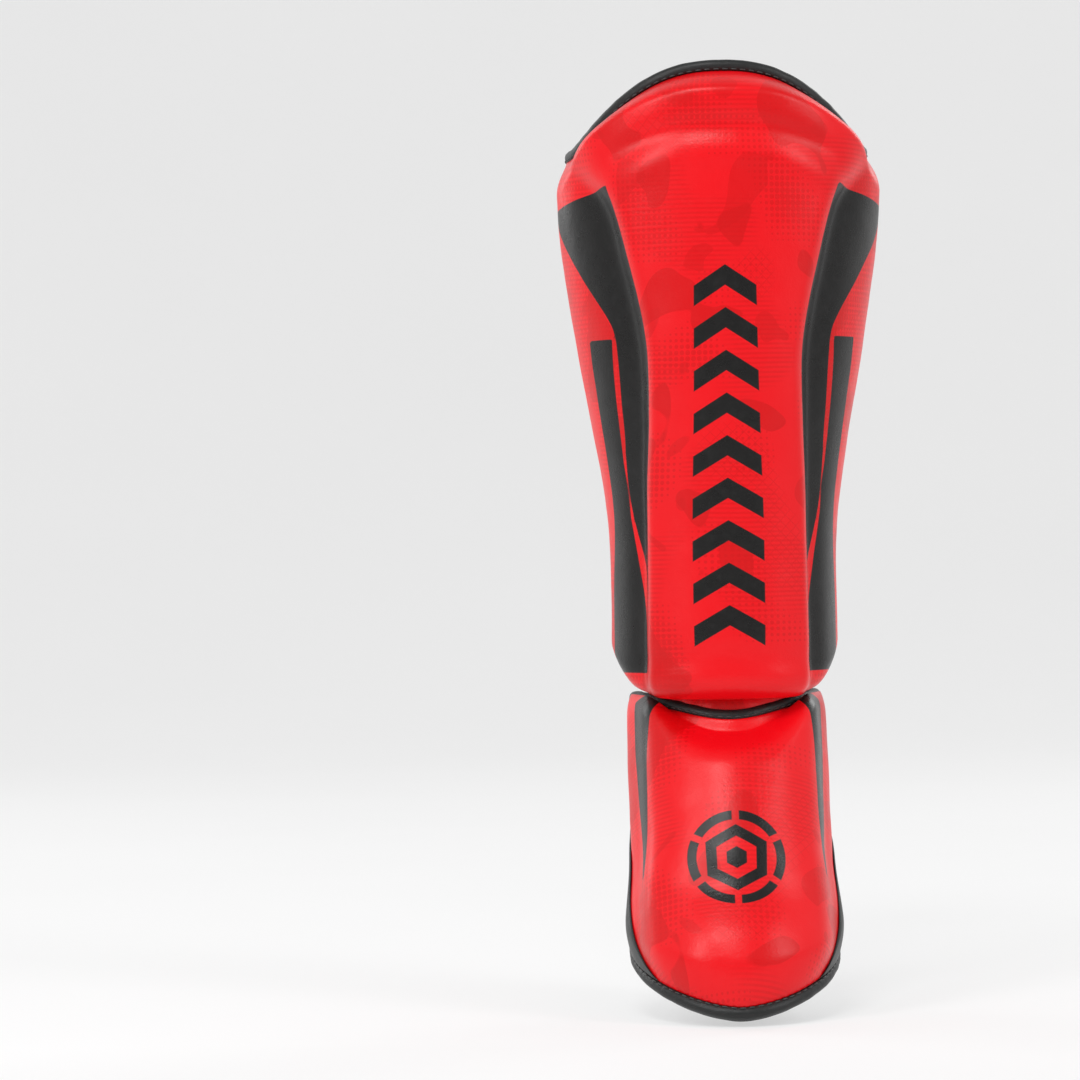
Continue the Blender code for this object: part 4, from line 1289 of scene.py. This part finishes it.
def make_backdrop(ambient):
    """A pale bowl: flat floor, round bend and wall, with a faint glow that is brighter behind."""
    sides = 96
    bend = np.linspace(0.0, math.pi / 2, 13)
    reach = np.concatenate([[0.001, 1.0, 2.2], 2.2 + 1.6 * np.sin(bend[1:]), [3.8]])
    height = np.concatenate([[0.0, 0.0, 0.0], 1.6 * (1.0 - np.cos(bend[1:])), [4.6]])
    turn = np.linspace(0.0, 2 * math.pi, sides + 1)[:-1]
    points = np.stack(np.broadcast_arrays(
        reach[:, None] * np.sin(turn), reach[:, None] * np.cos(turn),
        height[:, None] + CAD_BOX[0][2] - 2.0 * MM), axis=-1)
    i, j = np.meshgrid(np.arange(len(reach) - 1) * sides, np.arange(sides), indexing="ij")
    k = (j + 1) % sides
    faces = np.stack([i + j, i + k, i + sides + k, i + sides + j], -1)
    paper = Paint("studio_paper", Roughness=0.95, Specular_IOR_Level=0.1, Emission_Strength=1.0)
    place = paper.node("TexCoord", output=3)
    paper.colour(paper.mix(paper.noise(place, 3.0, 4.0), (0.42, 0.42, 0.42), (0.40, 0.40, 0.40)))
    behind = paper.clamp(paper.split(place)[1] / 1.6 + 1.1)
    glow = paper.mix(behind, [ambient * 0.36] * 3, [ambient * 1.1] * 3)
    paper.put(paper.skin.inputs["Emission Color"], glow)
    faces = faces.reshape(-1, 4).tolist()
    return finish_mesh("studio_backdrop", points, faces, None, [paper.material])


def make_stage():
    """Pale floor and backdrop, soft lights and the camera."""
    scene, looks = bpy.context.scene, settings()
    make_backdrop(looks.ambient)
    scene.world = scene.world or bpy.data.worlds.new("studio")
    scene.world.use_nodes = True
    surroundings = scene.world.node_tree.nodes["Background"].inputs
    surroundings[0].default_value = (1.0, 1.0, 1.0, 1.0)
    surroundings[1].default_value = looks.ambient
    for name, place, aim, width, height, share in SOFTBOXES:
        add_softbox(name, place, (0.0, 0.0, aim), width, height, looks.key_power * share)

    camera = bpy.data.objects.new("camera", bpy.data.cameras.new("camera"))
    scene.collection.objects.link(camera)
    camera.data.lens = looks.lens
    camera.data.sensor_width = 36.0
    camera.location = looks.camera_place
    camera.rotation_euler = (math.radians(90.0), looks.camera_roll, 0.0)
    scene.camera = camera
    scene.view_settings.view_transform = "Standard"


def add_softbox(name, place, target, width, height, power):
    light = bpy.data.lights.new(name, "AREA")
    light.shape = "RECTANGLE"
    light.size, light.size_y = width, height
    light.energy = power
    lamp = bpy.data.objects.new(name, light)
    lamp.location = place
    lamp.visible_camera = False
    lamp.rotation_euler = (Vector(target) - Vector(place)).to_track_quat("-Z", "Y").to_euler()
    bpy.context.scene.collection.objects.link(lamp)


# ---- Settings, operators and panel -------------------------------------------------------------

def size_setting(name, description, millimetres):
    return FloatProperty(
        name=name, description=description, default=millimetres * MM, min=0.0, unit="LENGTH")


def tone_setting(name, description, default):
    return FloatVectorProperty(
        name=name, description=description, default=default, subtype="COLOR", min=0.0, max=1.0)


class ShinGuardLooks(bpy.types.PropertyGroup):
    """Sizes, colours, lights and camera that a user may change"""

    tape_width: size_setting("Tape width", "How far the pads' binding reaches in", 6.0)
    tape_depth: size_setting("Tape depth", "The pads' binding, from face to face", 7.6)
    strap_tape_width: size_setting("Strap tape width", "The same for the straps' binding", 6.4)
    strap_tape_depth: size_setting("Strap tape depth", "The same for the straps' binding", 6.0)
    stitch_pitch: size_setting("Stitch pitch", "From one stitch to the next", 4.2)
    stitch_length: size_setting("Stitch length", "What shows of each stitch", 3.0)
    thread_radius: size_setting("Thread radius", "Half the sewing thread's thickness", 0.42)
    strap_crown: size_setting("Strap crown", "How far a strap's face puffs up in the middle", 0.9)
    lining_slack: size_setting("Lining slack", "How far the shin lining creases inwards", 1.1)
    red: tone_setting("Red", "Main colour of the printed skin", (0.82, 0.0022, 0.0070))
    deep_red: tone_setting("Deep red", "Darker tone of the print", (0.60, 0.0008, 0.0022))
    pale_red: tone_setting("Pale red", "Worn tone of the print", (0.86, 0.035, 0.045))
    black: tone_setting("Black skin", "Colour of the binding and straps", (0.0120, 0.0130, 0.0130))
    cloth: tone_setting("Black cloth", "Colour of lining and elastic", (0.0060, 0.0068, 0.0065))
    key_power: FloatProperty(
        name="Key light", description="Power of the main softbox",
        default=12.3, min=0.0, unit="POWER")
    ambient: FloatProperty(
        name="Ambient", description="Brightness of the surroundings", default=0.46, min=0.0)
    lens: FloatProperty(
        name="Lens", description="Focal length of the camera in millimetres",
        default=136.8, min=10.0)
    camera_place: FloatVectorProperty(
        name="Camera", description="Where the camera stands", subtype="TRANSLATION",
        default=(-0.0888, -2.00, 0.0769), unit="LENGTH")
    camera_roll: FloatProperty(
        name="Roll", description="Sideways lean of the camera", default=0.0165, unit="ROTATION")


class GUARD_OT_shin_pad(bpy.types.Operator):
    """Makes the shin pad's printed cover and its lining"""

    bl_idname = "guard.shin_pad"
    bl_label = "Shin pad"

    def execute(self, context):
        make_shin_pad()
        return {"FINISHED"}


class GUARD_OT_instep_pad(bpy.types.Operator):
    """Makes the instep pad's printed cover and its lining"""

    bl_idname = "guard.instep_pad"
    bl_label = "Instep pad"

    def execute(self, context):
        make_instep()
        return {"FINISHED"}


class GUARD_OT_toe_panels(bpy.types.Operator):
    """Makes the two black panels at the toes"""

    bl_idname = "guard.toe_panels"
    bl_label = "Toe panels"

    def execute(self, context):
        make_toe_panels()
        return {"FINISHED"}


class GUARD_OT_bindings(bpy.types.Operator):
    """Binds both pads' edges with stitched tape"""

    bl_idname = "guard.bindings"
    bl_label = "Edge bindings"

    def execute(self, context):
        make_bindings()
        return {"FINISHED"}


class GUARD_OT_patches(bpy.types.Operator):
    """Makes the loop and hook patches"""

    bl_idname = "guard.patches"
    bl_label = "Hook and loop patches"

    def execute(self, context):
        make_patches()
        return {"FINISHED"}


class GUARD_OT_straps(bpy.types.Operator):
    """Makes the two calf straps"""

    bl_idname = "guard.straps"
    bl_label = "Calf straps"

    def execute(self, context):
        make_strap("upper", UPPER_SPAN, True)
        make_strap("lower", LOWER_SPAN, False)
        return {"FINISHED"}


class GUARD_OT_ankle(bpy.types.Operator):
    """Makes the ankle gusset and its bar tack"""

    bl_idname = "guard.ankle"
    bl_label = "Ankle gusset"

    def execute(self, context):
        make_ankle()
        return {"FINISHED"}


class GUARD_OT_foot_strap(bpy.types.Operator):
    """Makes the elastic strap under the foot"""

    bl_idname = "guard.foot_strap"
    bl_label = "Foot strap"

    def execute(self, context):
        make_foot_strap()
        return {"FINISHED"}


class GUARD_OT_stage(bpy.types.Operator):
    """Sets the floor, the lights and the camera"""

    bl_idname = "guard.stage"
    bl_label = "Stage"

    def execute(self, context):
        make_stage()
        return {"FINISHED"}


OPERATORS = (
    GUARD_OT_stage, GUARD_OT_shin_pad, GUARD_OT_instep_pad, GUARD_OT_toe_panels, GUARD_OT_bindings,
    GUARD_OT_patches, GUARD_OT_straps, GUARD_OT_ankle, GUARD_OT_foot_strap,
)


class VIEW3D_PT_shin_guard(bpy.types.Panel):
    """Lists the guard's settings and the pieces it can make"""

    bl_label = "Shin guard"
    bl_space_type = "VIEW_3D"
    bl_region_type = "UI"
    bl_category = "Shin guard"

    def draw(self, context):
        looks = context.scene.shin_guard
        for name in ShinGuardLooks.__annotations__:
            self.layout.prop(looks, name)
        for operator in OPERATORS:
            self.layout.operator(operator.bl_idname)


CLASSES = (ShinGuardLooks, *OPERATORS, VIEW3D_PT_shin_guard)


def register():
    for one in CLASSES:
        bpy.utils.register_class(one)
    bpy.types.Scene.shin_guard = PointerProperty(type=ShinGuardLooks)


def unregister():
    del bpy.types.Scene.shin_guard
    for one in reversed(CLASSES):
        bpy.utils.unregister_class(one)


def main():
    register()
    bpy.ops.guard.stage()
    bpy.ops.guard.shin_pad()
    bpy.ops.guard.instep_pad()
    bpy.ops.guard.toe_panels()
    bpy.ops.guard.bindings()
    bpy.ops.guard.patches()
    bpy.ops.guard.straps()
    bpy.ops.guard.ankle()
    bpy.ops.guard.foot_strap()


if __name__ == "__main__":
    main()
